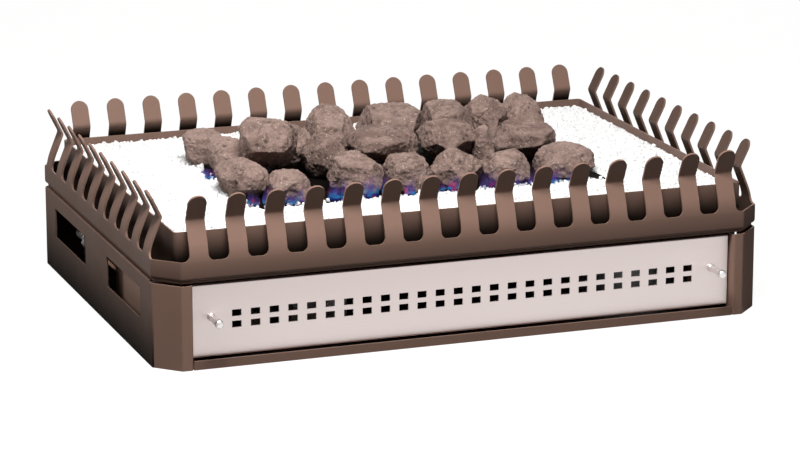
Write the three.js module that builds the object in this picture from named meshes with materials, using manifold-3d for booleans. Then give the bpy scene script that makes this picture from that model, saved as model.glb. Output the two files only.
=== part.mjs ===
// Decorative gas coal fire: a chamfered steel base with a slotted pull-off front panel, a fret of bent
// fingers, a tray of white granules and a heap of ceramic coals on a burner, with the gas train below.
// Lengths are in millimetres. X runs to the right, Y to the back and Z up, and the origin lies in the
// middle of the face that the base stands on.
import * as THREE from 'three';
import { mergeVertices } from 'three/addons/utils/BufferGeometryUtils.js';
import Module from 'manifold-3d';

// Overall sizes
const bodyWidth = 600;
const bodyDepth = 422;
const frontChamfer = 22.4;
const rearChamfer = 14;
const baseHeight = 80.6;

// Fits and working values
const seat = 0.3; // gap between pieces that rest on or butt against each other
const cutOverrun = 2; // how far a cutter runs past the faces it goes through
const weldDistance = 0.001; // points closer than this are one corner
const roundSides = 12;
const pipeSides = 8;
const pipeSteps = 24;
const bendRadii = 3; // a pipe starts to bend this many of its radii before a corner
const quarterSteps = 2;

const halfWidth = bodyWidth / 2;
const halfDepth = bodyDepth / 2;

const wasm = await Module();
wasm.setup();

// Colours and finishes
function finish(color, roughness, metalness) {
  return new THREE.MeshStandardMaterial({ color, roughness, metalness });
}
const brownPaint = () => finish(0x67524a, 0.5, 0.3);
const blackPaint = () => finish(0x1c1a19, 0.8, 0.2);
const brushedSteel = () => finish(0xd8cac6, 0.35, 0.9);
const chrome = () => finish(0xe8e8e8, 0.12, 1);
const zincPlate = () => finish(0xb9bcbf, 0.35, 0.9);
const brass = () => finish(0xb08d4a, 0.35, 0.9);
const copper = () => finish(0xa5673f, 0.35, 0.9);
const castAlloy = () => finish(0x9a9a98, 0.5, 0.8);
const blackPlastic = () => finish(0x202022, 0.5, 0);
const whiteCeramic = () => finish(0xeeeae2, 0.4, 0);
const granuleWhite = () => finish(0xf4f3f0, 0.95, 0);
const coalCeramic = () => finish(0x95817a, 0.95, 0);

const basket = new THREE.Group();

// Adds one named piece with its material.
function addPiece(name, geometry, material, { at = [0, 0, 0], turn = [0, 0, 0] } = {}) {
  const mesh = new THREE.Mesh(geometry, material);
  mesh.name = name;
  mesh.position.set(...at);
  mesh.rotation.set(...turn);
  basket.add(mesh);
}

// Joining and cutting
function toSolid(geometry) {
  const bare = geometry.clone();
  bare.deleteAttribute('normal');
  bare.deleteAttribute('uv');
  const welded = mergeVertices(bare, weldDistance);
  return new wasm.Manifold(
    new wasm.Mesh({
      numProp: 3,
      vertProperties: Float32Array.from(welded.attributes.position.array),
      triVerts: Uint32Array.from(welded.index.array),
    }),
  );
}

function fromSolid(solid) {
  const mesh = solid.getMesh();
  const geometry = new THREE.BufferGeometry();
  geometry.setAttribute('position', new THREE.BufferAttribute(mesh.vertProperties, 3));
  geometry.setIndex(new THREE.BufferAttribute(mesh.triVerts, 1));
  geometry.computeVertexNormals();
  return geometry;
}

function cut(geometry, cutters) {
  const rest = cutters.reduce((solid, cutter) => solid.subtract(toSolid(cutter)), toSolid(geometry));
  return fromSolid(rest);
}

function join(geometries) {
  const [first, ...others] = geometries.map(toSolid);
  return fromSolid(others.reduce((solid, other) => solid.add(other), first));
}

// Plain forms
function shapeOf(points, holes = []) {
  const shape = new THREE.Shape(points.map(([x, y]) => new THREE.Vector2(x, y)));
  shape.holes = holes.map((hole) => new THREE.Path(hole.map(([x, y]) => new THREE.Vector2(x, y))));
  return shape;
}

// A flat plate between two heights from an outline in plan.
function slab(points, bottom, top, holes = []) {
  const geometry = new THREE.ExtrudeGeometry(shapeOf(points, holes), {
    depth: top - bottom,
    bevelEnabled: false,
  });
  return geometry.translate(0, 0, bottom);
}

function rectangle(left, right, front, back) {
  return [
    [left, front],
    [right, front],
    [right, back],
    [left, back],
  ];
}

function arcPoints(centreX, centreY, radius, from, to, steps) {
  return Array.from({ length: steps + 1 }, (_, k) => {
    const angle = from + ((to - from) * k) / steps;
    return [centreX + radius * Math.cos(angle), centreY + radius * Math.sin(angle)];
  });
}

function circlePoints(centreX, centreY, radius, sides = roundSides) {
  return arcPoints(centreX, centreY, radius, 0, 2 * Math.PI, sides).slice(0, sides);
}

function roundedRectangle(left, right, front, back, radius) {
  const quarter = Math.PI / 2;
  const corner = (x, y, k) => arcPoints(x, y, radius, k * quarter, (k + 1) * quarter, quarterSteps);
  return [
    ...corner(right - radius, back - radius, 0),
    ...corner(left + radius, back - radius, 1),
    ...corner(left + radius, front + radius, 2),
    ...corner(right - radius, front + radius, 3),
  ];
}

// A turned piece along +Y from pairs of radius and distance, closed on its axis.
function turned(profile, sides = roundSides) {
  const points = profile.map(([radius, along]) => new THREE.Vector2(radius, along));
  return new THREE.LatheGeometry(points, sides);
}

// A cutter for a round hole through a plate of some thickness whose front face lies at front.
function roundCutter(radius, front, thickness) {
  return turned([
    [0, front - cutOverrun],
    [radius, front - cutOverrun],
    [radius, front + thickness + cutOverrun],
    [0, front + thickness + cutOverrun],
  ]);
}

// A round bar or pipe that runs straight between corners and is bent round each of them.
function pipe(corners, radius, options = {}) {
  const { bore = 0, bend = bendRadii * radius, steps = pipeSteps, sides = pipeSides } = options;
  const points = corners.map((corner) => new THREE.Vector3(...corner));
  const last = points.length - 1;
  const near = (k, to) => points[to].clone().sub(points[k]).setLength(bend).add(points[k]);
  const route = new THREE.CurvePath();
  for (let k = 0; k < last; k += 1) {
    const from = k === 0 ? points[0] : near(k, k + 1);
    const to = k + 1 === last ? points[last] : near(k + 1, k);
    route.add(new THREE.LineCurve3(from, to));
    if (k + 1 < last) {
      route.add(new THREE.QuadraticBezierCurve3(to, points[k + 1], near(k + 1, k + 2)));
    }
  }
  const holes = bore > 0 ? [circlePoints(0, 0, bore, sides)] : [];
  return new THREE.ExtrudeGeometry(shapeOf(circlePoints(0, 0, radius, sides), holes), {
    steps,
    extrudePath: route,
    bevelEnabled: false,
  });
}

// Sheet metal
// Corners of the plan outline, in order round the body with the inside on the left, drawn in by an inset.
function bodyCorners(inset = 0) {
  const x = halfWidth - inset;
  const y = halfDepth - inset;
  const squareShare = 2 - Math.SQRT2; // how much of the inset a 45 degree corner cut loses
  const front = frontChamfer - inset * squareShare;
  const rear = rearChamfer - inset * squareShare;
  return [
    [-x + front, -y],
    [x - front, -y],
    [x, -y + front],
    [x, y - rear],
    [x - rear, y],
    [-x + rear, y],
    [-x, y - rear],
    [-x, -y + front],
  ];
}

// Straight runs in plan with the inside on the left. Offsets are square to a run and mitred at its corners.
// before and after are the outline's next corners past the ends, for ends that meet a neighbour in a mitre.
function planRun(points, { before, after } = {}) {
  const chain = points.map(([x, y]) => new THREE.Vector2(x, y));
  const inward = (a, b) => {
    const way = b.clone().sub(a).normalize();
    return new THREE.Vector2(-way.y, way.x);
  };
  const squares = chain.slice(1).map((b, k) => inward(chain[k], b));
  const first = before ? inward(new THREE.Vector2(...before), chain[0]) : squares[0];
  const last = after ? inward(chain.at(-1), new THREE.Vector2(...after)) : squares.at(-1);
  const mitres = chain.map((_, k) => {
    const a = k === 0 ? first : squares[k - 1];
    const b = k === chain.length - 1 ? last : squares[k];
    return a.clone().add(b).divideScalar(1 + a.dot(b));
  });
  const stations = [0];
  chain.slice(1).forEach((b, k) => stations.push(stations[k] + b.distanceTo(chain[k])));
  const at = (u, inset) => {
    const corner = stations.findIndex((station) => Math.abs(station - u) <= seat);
    const next = stations.findIndex((station, k) => k > 0 && u <= station);
    const run = (next < 0 ? stations.length - 1 : next) - 1;
    const share = (u - stations[run]) / (stations[run + 1] - stations[run]);
    const offset = corner < 0 ? squares[run] : mitres[corner];
    return chain[run].clone().lerp(chain[run + 1], share).addScaledVector(offset, inset);
  };
  return { stations, length: stations.at(-1), at };
}

// A bent cross-section from pairs of inset and height along its outer face, given its sheet's thickness.
function bentProfile(points, thickness) {
  const chain = points.map(([inset, z]) => new THREE.Vector2(inset, z));
  const squares = chain.slice(1).map((b, k) => {
    const way = b.clone().sub(chain[k]).normalize();
    return new THREE.Vector2(way.y, -way.x);
  });
  const mitres = chain.map((_, k) => {
    const a = squares[Math.max(k - 1, 0)];
    const b = squares[Math.min(k, squares.length - 1)];
    return a.clone().add(b).divideScalar(1 + a.dot(b));
  });
  const stations = [0];
  chain.slice(1).forEach((b, k) => stations.push(stations[k] + b.distanceTo(chain[k])));
  const at = (s, side) => {
    const corner = stations.findIndex((station) => Math.abs(station - s) <= weldDistance);
    const next = stations.findIndex((station, k) => k > 0 && s <= station + weldDistance);
    const share = (s - stations[next - 1]) / (stations[next] - stations[next - 1]);
    const offset = corner < 0 ? squares[next - 1] : mitres[corner];
    return chain[next - 1].clone().lerp(chain[next], share).addScaledVector(offset, side * thickness);
  };
  return { stations, at };
}

// A folded sheet. Its flat blank is cut along the fold lines into outlines, in the blank's own lengths u and
// s. place gives a blank point's position on the outer or the inner face.
function foldedSheet(outlines, place) {
  const keys = new Map();
  const blank = [];
  const cornerOf = (point) => {
    const key = `${Math.round(point.x / weldDistance)},${Math.round(point.y / weldDistance)}`;
    if (!keys.has(key)) {
      keys.set(key, blank.length);
      blank.push(point);
    }
    return keys.get(key);
  };
  const triangles = [];
  for (const outline of outlines) {
    const loop = outline.map(([u, s]) => new THREE.Vector2(u, s));
    const loopCorners = loop.map(cornerOf);
    for (const face of THREE.ShapeUtils.triangulateShape(loop, [])) {
      const triangle = face.map((k) => loopCorners[k]);
      const area = THREE.ShapeUtils.area(triangle.map((k) => blank[k]));
      triangles.push(area > 0 ? triangle : triangle.reverse());
    }
  }
  const count = blank.length;
  const edges = new Set();
  const sides = ([a, b, c]) => [
    [a, b],
    [b, c],
    [c, a],
  ];
  triangles.forEach((triangle) => sides(triangle).forEach(([a, b]) => edges.add(a * count + b)));
  const index = [];
  for (const [a, b, c] of triangles) {
    index.push(a, b, c, c + count, b + count, a + count);
    for (const [from, to] of sides([a, b, c])) {
      if (!edges.has(to * count + from)) {
        index.push(from, from + count, to, to, from + count, to + count);
      }
    }
  }
  const position = [0, 1].flatMap((side) => blank.flatMap((point) => place(point.x, point.y, side)));
  const geometry = new THREE.BufferGeometry();
  geometry.setAttribute('position', new THREE.Float32BufferAttribute(position, 3));
  geometry.setIndex(index);
  geometry.computeVertexNormals();
  return geometry;
}

// Places a blank on a plan run with a bent cross-section.
function placeOn(run, profile) {
  return (u, s, side) => {
    const { x: inset, y: z } = profile.at(s, side);
    const point = run.at(u, inset);
    return [point.x, point.y, z];
  };
}

// A sheet folded only along its length, from one place on its run to another.
function foldedStrip(run, profile, from = 0, to = run.length) {
  const folds = profile.stations;
  return foldedSheet(
    folds.slice(1).map((fold, k) => rectangle(from, to, folds[k], fold)),
    placeOn(run, profile),
  );
}

// The left-hand piece of a pair, turned into its right-hand twin.
function mirrored(geometry) {
  const twin = geometry.clone().scale(-1, 1, 1);
  const index = Array.from(twin.index.array);
  for (let k = 0; k < index.length; k += 3) {
    [index[k], index[k + 1]] = [index[k + 1], index[k]];
  }
  twin.setIndex(index);
  twin.computeVertexNormals();
  return twin;
}

// Base casing: side walls
// Each wall is one folded sheet: rear corner, side with two windows, front corner, pillar and its return.
const baseSheet = 1.5;
const pillarFace = 10.6;
const pillarReturn = 14;
const topFlange = 12;
const topFlangeRelief = 6;
const windowLength = 116;
const windowHeight = 29.5;
const windowDrop = 44.3;
const windowOffset = 97;
const windowShift = 3;
const pillarEdge = halfWidth - frontChamfer - pillarFace;
const windowBottom = baseHeight - windowDrop;

function baseSide() {
  const run = planRun(
    [
      [-halfWidth + rearChamfer, halfDepth],
      [-halfWidth, halfDepth - rearChamfer],
      [-halfWidth, -halfDepth + frontChamfer],
      [-halfWidth + frontChamfer, -halfDepth],
      [-pillarEdge, -halfDepth],
      [-pillarEdge, -halfDepth + pillarReturn],
    ],
    { before: [0, halfDepth] },
  );
  const profile = bentProfile(
    [
      [0, 0],
      [0, baseHeight],
      [topFlange, baseHeight],
    ],
    baseSheet,
  );
  const [start, rearEdge, frontEdge, pillarStart, pillarEnd, end] = run.stations;
  const flangeStart = rearEdge + topFlangeRelief;
  const flangeEnd = frontEdge - topFlangeRelief;
  const sheet = foldedSheet(
    [
      rectangle(start, rearEdge, 0, baseHeight),
      rectangle(rearEdge, flangeStart, 0, baseHeight),
      rectangle(flangeStart, flangeEnd, 0, baseHeight),
      rectangle(flangeEnd, frontEdge, 0, baseHeight),
      rectangle(frontEdge, pillarStart, 0, baseHeight),
      rectangle(pillarStart, pillarEnd, 0, baseHeight),
      rectangle(pillarEnd, end, 0, baseHeight),
      rectangle(flangeStart, flangeEnd, baseHeight, baseHeight + topFlange),
    ],
    placeOn(run, profile),
  );
  const windows = [-1, 1].map((side) => {
    const middle = windowShift + side * windowOffset;
    const plan = rectangle(
      -halfWidth - cutOverrun,
      -halfWidth + baseSheet + cutOverrun,
      middle - windowLength / 2,
      middle + windowLength / 2,
    );
    return slab(plan, windowBottom, windowBottom + windowHeight);
  });
  return cut(sheet, windows);
}

const sideShape = baseSide();
addPiece('base_side_left', sideShape, brownPaint());
addPiece('base_side_right', mirrored(sideShape), brownPaint());

// Base casing: back plate
// A plain plate welded between the rear corners, with a flange along its top.
function baseBack() {
  const [, , , rightSide, rightEnd, leftEnd, leftSide] = bodyCorners();
  const run = planRun([rightEnd, leftEnd], { before: rightSide, after: leftSide });
  const profile = bentProfile(
    [
      [0, 0],
      [0, baseHeight],
      [topFlange, baseHeight],
    ],
    baseSheet,
  );
  return foldedStrip(run, profile, seat, run.length - seat);
}
addPiece('base_back', baseBack(), brownPaint());

// Base casing: floor
// The plate that the fire stands on, turned up at the front as a low sill between the pillars.
const sillHeight = 8.4;

function baseFloor() {
  const sillReach = pillarEdge - seat;
  const wide = halfWidth - baseSheet - seat;
  const run = planRun([
    [-sillReach, -halfDepth],
    [sillReach, -halfDepth],
  ]);
  const length = bodyDepth - baseSheet - seat;
  const profile = bentProfile(
    [
      [length, 0],
      [0, 0],
      [0, sillHeight],
    ],
    baseSheet,
  );
  const [, fold, top] = profile.stations;
  const side = wide - sillReach;
  const front = length - frontChamfer - seat;
  const corner = rearChamfer;
  const outline = [
    [-side + corner, 0],
    [run.length + side - corner, 0],
    [run.length + side, corner],
    [run.length + side, front],
    [run.length, front],
    [run.length, fold],
    [0, fold],
    [0, front],
    [-side, front],
    [-side, corner],
  ];
  return foldedSheet([outline, rectangle(0, run.length, fold, top)], placeOn(run, profile));
}
addPiece('base_floor', baseFloor(), brownPaint());

// Base casing: front rail
// An angle behind the pillar returns that ties the pillars and carries the front of the deck.
const railDrop = 18.6;
const railFlange = 14;
const railLap = 5;

function frontRail() {
  const y = -halfDepth + pillarReturn + seat;
  const run = planRun([
    [-pillarEdge - railLap, y],
    [pillarEdge + railLap, y],
  ]);
  const profile = bentProfile(
    [
      [0, baseHeight - railDrop],
      [0, baseHeight],
      [railFlange, baseHeight],
    ],
    baseSheet,
  );
  return foldedStrip(run, profile);
}
addPiece('front_rail', frontRail(), blackPaint());

// Front panel
// A slotted plate with turned-back top and bottom edges, carried on two pull pins.
const panelSideGap = 1.8;
const panelFootGap = 0.5;
const panelHeadGap = 3.6;
const panelRecess = 8.3;
const panelSheet = 1.5;
const panelReturn = 5;
const slotColumns = 26;
const slotMargin = 41.45;
const slotWidth = 9;
const slotHeight = 6.2;
const slotRowPitch = 10.6;
const slotRise = 33.9;
const pinInset = 17.2;
const pinRise = 37.6;
const pinShank = 3;
const pinReach = 28;
const pinStem = 2.5;
const pinEnd = 3.9;
const pinEndLength = 3.5;
const pinCrown = 3.1;
const pinCrownLength = 1.2;
const pinCollar = 4.4;
const pinCollarLength = 1.5;
const spigotLength = 58;
const spigotTaper = 2;

const panelFront = -halfDepth + panelRecess;
const panelHalf = pillarEdge - panelSideGap;
const panelBottom = sillHeight + panelFootGap;
const panelTop = baseHeight - panelHeadGap;
const slotPitch = (2 * (panelHalf - slotMargin)) / (slotColumns - 1);
const slotMiddle = panelBottom + slotRise;
const pinOffset = panelHalf - pinInset;
const pinHeight = panelBottom + pinRise;

function frontPanel() {
  const run = planRun([
    [-panelHalf, panelFront],
    [panelHalf, panelFront],
  ]);
  const profile = bentProfile(
    [
      [panelReturn, panelBottom],
      [0, panelBottom],
      [0, panelTop],
      [panelReturn, panelTop],
    ],
    panelSheet,
  );
  const outside = panelFront - cutOverrun;
  const inside = panelFront + panelSheet + cutOverrun;
  const cutters = [-1, 1].map((side) =>
    roundCutter(pinShank + seat, panelFront, panelSheet).translate(side * pinOffset, 0, pinHeight),
  );
  for (let column = 0; column < slotColumns; column += 1) {
    for (const row of [-1, 1]) {
      const x = (column - (slotColumns - 1) / 2) * slotPitch;
      const z = slotMiddle + (row * slotRowPitch) / 2;
      const plan = rectangle(x - slotWidth / 2, x + slotWidth / 2, outside, inside);
      cutters.push(slab(plan, z - slotHeight / 2, z + slotHeight / 2));
    }
  }
  return cut(foldedStrip(run, profile), cutters);
}
addPiece('front_panel', frontPanel(), brushedSteel());

// Pull pins: a turned knob outside and a plain spigot inside that guides the panel in the side plates.
function pullPin() {
  const back = seat + panelSheet + seat;
  return turned([
    [0, -seat - pinReach],
    [pinCrown, -seat - pinReach],
    [pinEnd, -seat - pinReach + pinCrownLength],
    [pinEnd, -seat - pinReach + pinEndLength],
    [pinStem, -seat - pinReach + pinEndLength + pinStem],
    [pinStem, -seat - pinCollarLength],
    [pinCollar, -seat - pinCollarLength],
    [pinCollar, -seat],
    [pinShank, -seat],
    [pinShank, back],
    [pinCollar, back],
    [pinCollar, back + pinCollarLength],
    [pinShank, back + pinCollarLength],
    [pinShank, back + spigotLength - spigotTaper],
    [pinShank - spigotTaper / 2, back + spigotLength],
    [0, back + spigotLength],
  ]);
}
[
  ['pull_pin_left', -1],
  ['pull_pin_right', 1],
].forEach(([name, side]) => {
  addPiece(name, pullPin(), chrome(), { at: [side * pinOffset, panelFront, pinHeight] });
});

// Side plates of the control bay
// An upright plate close behind each front window, turned in at the front with a guide hole for a spigot.
const bayInset = 13;
const bayFrontInset = 39;
const bayBack = 20;
const bayTab = 49;
const bayFront = halfDepth - bayFrontInset;

function bayPlate() {
  const x = -halfWidth + bayInset;
  const run = planRun([
    [x, -bayBack],
    [x, -bayFront],
    [x + bayTab, -bayFront],
  ]);
  const bottom = baseSheet + seat;
  const profile = bentProfile(
    [
      [0, bottom],
      [0, baseHeight],
    ],
    baseSheet,
  );
  const [start, corner, end] = run.stations;
  const height = baseHeight - bottom;
  const sheet = foldedSheet(
    [rectangle(start, corner, 0, height), rectangle(corner, end, 0, height)],
    placeOn(run, profile),
  );
  const guide = roundCutter(pinShank + seat, -bayFront, baseSheet);
  return cut(sheet, [guide.translate(-pinOffset, 0, pinHeight)]);
}
const leftBay = bayPlate();
addPiece('bay_plate_left', leftBay, brownPaint());
addPiece('bay_plate_right', mirrored(leftBay), brownPaint());

// Deck
// The plate on top of the base that the tray and the fret stand on, set in for the shadow gap below the fret.
const deckSheet = 1.8;
const deckInset = 3;
const deckBottom = baseHeight + seat;
const deckTop = deckBottom + deckSheet;

// Burner places, which the deck, the tray and the granules are cut for. The burner is as long and as deep as
// the heap of coals that it carries.
const coalSize = 50;
const burnerHalfShare = 3.56;
const burnerFrontShare = 2.2;
const burnerBackShare = 1.8;
const burnerHalf = coalSize * burnerHalfShare;
const burnerFront = -coalSize * burnerFrontShare;
const burnerBack = coalSize * burnerBackShare;
const notchWidth = 32;
const notchDepth = 36;
const mixerX = 20;
const mixerY = -10;
const mixerOuter = 12;
const mixerInner = 10.5;
const pilotRow = burnerBack - notchDepth / 2;
const pilotX = -burnerHalf + notchWidth / 2;
const pilotSpacing = 9;
const serviceHalfWidth = 13;
const serviceHalfDepth = 5;

function mixerHole(extra) {
  return circlePoints(mixerX, mixerY, mixerOuter + extra);
}
function serviceHole() {
  return rectangle(
    pilotX - serviceHalfWidth,
    pilotX + serviceHalfWidth,
    pilotRow - serviceHalfDepth,
    pilotRow + serviceHalfDepth,
  );
}
const deckHoles = [mixerHole(seat), serviceHole()];
addPiece('deck_plate', slab(bodyCorners(deckInset), deckBottom, deckTop, deckHoles), brownPaint());

// Fret
// Four combs of bent fingers on one band. The front and back combs take in the cut corners.
// A land is the straight edge between a comb's last slot and its end, and the fingers share the rest evenly.
const fretSheet = 2;
const fretFlange = 9;
const fretBand = 24.5;
const lowerFinger = 29.9;
const upperFinger = 23.6;
const elbowInset = 12.2;
const tipInset = 0.8;
const fingerWidth = 17.6;
const slotCorner = 6;
const frontFingers = 15;
const sideFingers = 10;
const frontLand = 2.4;
const backLand = 10.8;
const sideLand = 1.6;
const tipSteps = 6;
const fretBottom = deckTop + seat;
const fretBend = fretBottom + fretBand;
const fretElbow = fretBend + lowerFinger;
const fretTip = fretElbow + upperFinger;

function fretComb(points, ends, fingers, land) {
  const run = planRun(points, ends);
  const profile = bentProfile(
    [
      [fretFlange, fretBottom],
      [0, fretBottom],
      [0, fretBend],
      [elbowInset, fretElbow],
      [tipInset, fretTip],
    ],
    fretSheet,
  );
  const [flange, foot, bend, elbow, tip] = profile.stations;
  const notch = bend - slotCorner;
  const half = fingerWidth / 2;
  const stations = [...run.stations];
  stations[0] += seat / 2;
  stations[stations.length - 1] -= seat / 2;
  const combRun = (stations.length - 2) / 2;
  const [left, right] = [stations[combRun], stations[combRun + 1]];
  const first = left + land + slotCorner + half;
  const pitch = (left + right - 2 * first) / (fingers - 1);
  const centres = Array.from({ length: fingers }, (_, k) => first + k * pitch);
  const top = [...centres].reverse().flatMap((centre) => [
    ...arcPoints(centre + half + slotCorner, bend, slotCorner, -Math.PI / 2, -Math.PI, quarterSteps),
    ...arcPoints(centre - half - slotCorner, bend, slotCorner, 0, -Math.PI / 2, quarterSteps),
  ]);
  const regions = [[[left, foot], [right, foot], [right, notch], ...top, [left, notch]]];
  for (let k = 0; k < stations.length - 1; k += 1) {
    regions.push(rectangle(stations[k], stations[k + 1], flange, foot));
    if (k !== combRun) {
      regions.push(rectangle(stations[k], stations[k + 1], foot, notch));
    }
  }
  for (const centre of centres) {
    regions.push(rectangle(centre - half, centre + half, bend, elbow));
    const round = arcPoints(centre, tip - half, half, 0, Math.PI, tipSteps);
    regions.push([[centre - half, elbow], [centre + half, elbow], ...round]);
  }
  return foldedSheet(regions, placeOn(run, profile));
}

function addFret(name, firstCorner, lastCorner, fingers, land) {
  const corners = bodyCorners();
  const corner = (k) => corners[(k + corners.length) % corners.length];
  const count = lastCorner - firstCorner + 1;
  const points = Array.from({ length: count }, (_, k) => corner(firstCorner + k));
  const ends = { before: corner(firstCorner - 1), after: corner(lastCorner + 1) };
  addPiece(name, fretComb(points, ends, fingers, land), brownPaint());
}
addFret('fret_front', -1, 2, frontFingers, frontLand);
addFret('fret_right', 2, 3, sideFingers, sideLand);
addFret('fret_back', 3, 6, frontFingers, backLand);
addFret('fret_left', 6, 7, sideFingers, sideLand);

// Granule tray
// An open box on the deck whose rim stands above the fret's band.
const traySideInset = 20;
const trayFrontInset = 14;
const trayDepth = 43.2;
const traySheet = 1.5;
const trayCorner = 4;
const trayHalfWidth = halfWidth - traySideInset;
const trayHalfDepth = halfDepth - trayFrontInset;
const trayBottom = deckTop + seat;
const trayTop = trayBottom + trayDepth;
const trayFloor = trayBottom + traySheet;

function granuleTray() {
  const box = (inset) =>
    roundedRectangle(
      -trayHalfWidth + inset,
      trayHalfWidth - inset,
      -trayHalfDepth + inset,
      trayHalfDepth - inset,
      trayCorner - inset,
    );
  const below = trayBottom - cutOverrun;
  return cut(slab(box(0), trayBottom, trayTop), [
    slab(box(traySheet), trayFloor, trayTop + cutOverrun),
    slab(mixerHole(seat), below, trayFloor + cutOverrun),
    slab(serviceHole(), below, trayFloor + cutOverrun),
  ]);
}
addPiece('burner_tray', granuleTray(), brownPaint());

// Burner
// A black pan turned upside down on the tray floor, slotted on top, with a corner left free for the pilot.
const bedDrop = 7.2;
const burnerSheet = 1.5;
const bedTop = trayTop - bedDrop;
const burnerFoot = trayFloor + seat;
const portRows = 3;
const portColumns = 7;
const portLength = 34;
const portWidth = 4;
const portPitchX = 48;
const portPitchY = 54;

function burnerOutline(inset) {
  const left = -burnerHalf + inset;
  const right = burnerHalf - inset;
  const front = burnerFront + inset;
  const back = burnerBack - inset;
  return [
    [left, front],
    [right, front],
    [right, back],
    [left + notchWidth, back],
    [left + notchWidth, back - notchDepth],
    [left, back - notchDepth],
  ];
}

function burnerCover() {
  const cutters = [slab(burnerOutline(burnerSheet), burnerFoot - cutOverrun, bedTop - burnerSheet)];
  const middle = (burnerFront + burnerBack) / 2;
  for (let column = 0; column < portColumns; column += 1) {
    for (let row = 0; row < portRows; row += 1) {
      const x = (column - (portColumns - 1) / 2) * portPitchX;
      const y = middle + (row - (portRows - 1) / 2) * portPitchY;
      const port = rectangle(x - portLength / 2, x + portLength / 2, y - portWidth / 2, y + portWidth / 2);
      cutters.push(slab(port, bedTop - burnerSheet - cutOverrun, bedTop + cutOverrun));
    }
  }
  return cut(slab(burnerOutline(0), burnerFoot, bedTop), cutters);
}
addPiece('burner_cover', burnerCover(), blackPaint());

// Granules
// The loose white filling between the tray and the burner, as one body whose top lies in low heaps.
const heapSpacing = 28;
const heapHeight = 1.8;
const heapUnevenShare = 0.3; // how far a crest may lie below the highest, or a hollow above the lowest
const heapWaves = [1.7, 2.9];

// The air over the granules: a block whose underside has a crest or a hollow at each point of its grid.
function airOverGranules() {
  const step = heapSpacing / 2;
  const columns = 2 * Math.ceil(trayHalfWidth / step);
  const rows = 2 * Math.ceil(trayHalfDepth / step);
  const air = new THREE.BoxGeometry(columns * step, rows * step, bedDrop, columns, rows, 1);
  const [acrossWave, backWave] = heapWaves;
  const position = air.attributes.position;
  for (let k = 0; k < position.count; k += 1) {
    if (position.getZ(k) > 0) continue;
    const column = Math.round(position.getX(k) / step);
    const row = Math.round(position.getY(k) / step);
    const uneven = (heapUnevenShare * (1 + Math.sin(acrossWave * column + backWave * row))) / 2;
    const drop = (column + row) % 2 === 0 ? uneven : 1 - uneven;
    position.setZ(k, position.getZ(k) - heapHeight * drop);
  }
  return air.translate(0, 0, bedTop + bedDrop / 2);
}

function granuleBed() {
  const inset = traySheet + seat;
  const outline = roundedRectangle(
    -trayHalfWidth + inset,
    trayHalfWidth - inset,
    -trayHalfDepth + inset,
    trayHalfDepth - inset,
    trayCorner - traySheet,
  );
  const hole = rectangle(
    -burnerHalf - seat,
    burnerHalf + seat,
    burnerFront - seat,
    burnerBack + seat,
  );
  return cut(slab(outline, trayFloor + seat, bedTop, [hole]), [airOverGranules()]);
}
addPiece('granule_bed', granuleBed(), granuleWhite());

// Mixing tube
// Gas and air are mixed in this bent tube, which rises through the deck and the tray into the burner.
const trainHeight = 45;
const mixerMouth = -70;
const mixerBend = 22;
const mixerRise = 16.2;
const mixerSteps = 10;
const mixerTop = burnerFoot + mixerRise;

function mixingTube() {
  const route = [
    [mixerMouth, mixerY, trainHeight],
    [mixerX, mixerY, trainHeight],
    [mixerX, mixerY, mixerTop],
  ];
  return pipe(route, mixerOuter, {
    bore: mixerInner,
    bend: mixerBend,
    steps: mixerSteps,
    sides: roundSides,
  });
}
addPiece('mixing_tube', mixingTube(), zincPlate());

// Injector and its bracket
// The bracket hangs from the deck. Its cradle holds the tube's mouth and its plate holds the brass injector.
const bracketSheet = 2;
const bracketHalfWidth = 18;
const bracketX = -84;
const cradleReach = 22;
const injectorRadius = 5;
const injectorShank = 4;
const injectorNose = 12;
const injectorTip = 2;
const injectorFlange = 3;
const injectorTail = 10;

function injectorBracket() {
  const top = baseHeight;
  const bottom = trainHeight - mixerOuter - seat - bracketSheet;
  const left = mixerY - bracketHalfWidth;
  const right = mixerY + bracketHalfWidth;
  const plate = slab(rectangle(bracketX, bracketX + bracketSheet, left, right), bottom, top);
  const arm = slab(rectangle(bracketX, bracketX + cradleReach, left, right), top - bracketSheet, top);
  const cradle = slab(
    rectangle(
      bracketX,
      bracketX + cradleReach,
      mixerY - mixerOuter / 2,
      mixerY + mixerOuter / 2,
    ),
    bottom,
    bottom + bracketSheet,
  );
  const bore = roundCutter(injectorShank + seat, 0, bracketSheet);
  bore.rotateZ(-Math.PI / 2).translate(bracketX, mixerY, trainHeight);
  return cut(join([plate, arm, cradle]), [bore]);
}
addPiece('injector_bracket', injectorBracket(), zincPlate());

function injector() {
  const front = bracketSheet + seat;
  return turned([
    [0, -injectorTail],
    [injectorRadius, -injectorTail],
    [injectorRadius, -seat],
    [injectorShank, -seat],
    [injectorShank, front],
    [injectorRadius, front],
    [injectorRadius, front + injectorFlange],
    [injectorTip, front + injectorNose],
    [0, front + injectorNose],
  ]);
}
addPiece('injector', injector(), brass(), {
  at: [bracketX, mixerY, trainHeight],
  turn: [0, 0, -Math.PI / 2],
});

// Control bracket
// An upright plate on the base floor behind the panel that carries the gas tap and the igniter.
const controlInset = 49.5;
const controlLeftMargin = 28;
const controlRightMargin = 21;
const controlTop = 66;
const controlFoot = 20;
const controlSheet = 1.5;
const tapInset = 120;
const igniterPitch = 55;
const controlHeight = 42;
const spindleRadius = 3.5;
const buttonStem = 4;
const controlY = -halfDepth + controlInset;
const tapX = -halfWidth + tapInset;
const igniterX = tapX + igniterPitch;
const controlLeft = tapX - controlLeftMargin;
const controlRight = igniterX + controlRightMargin;

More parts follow.
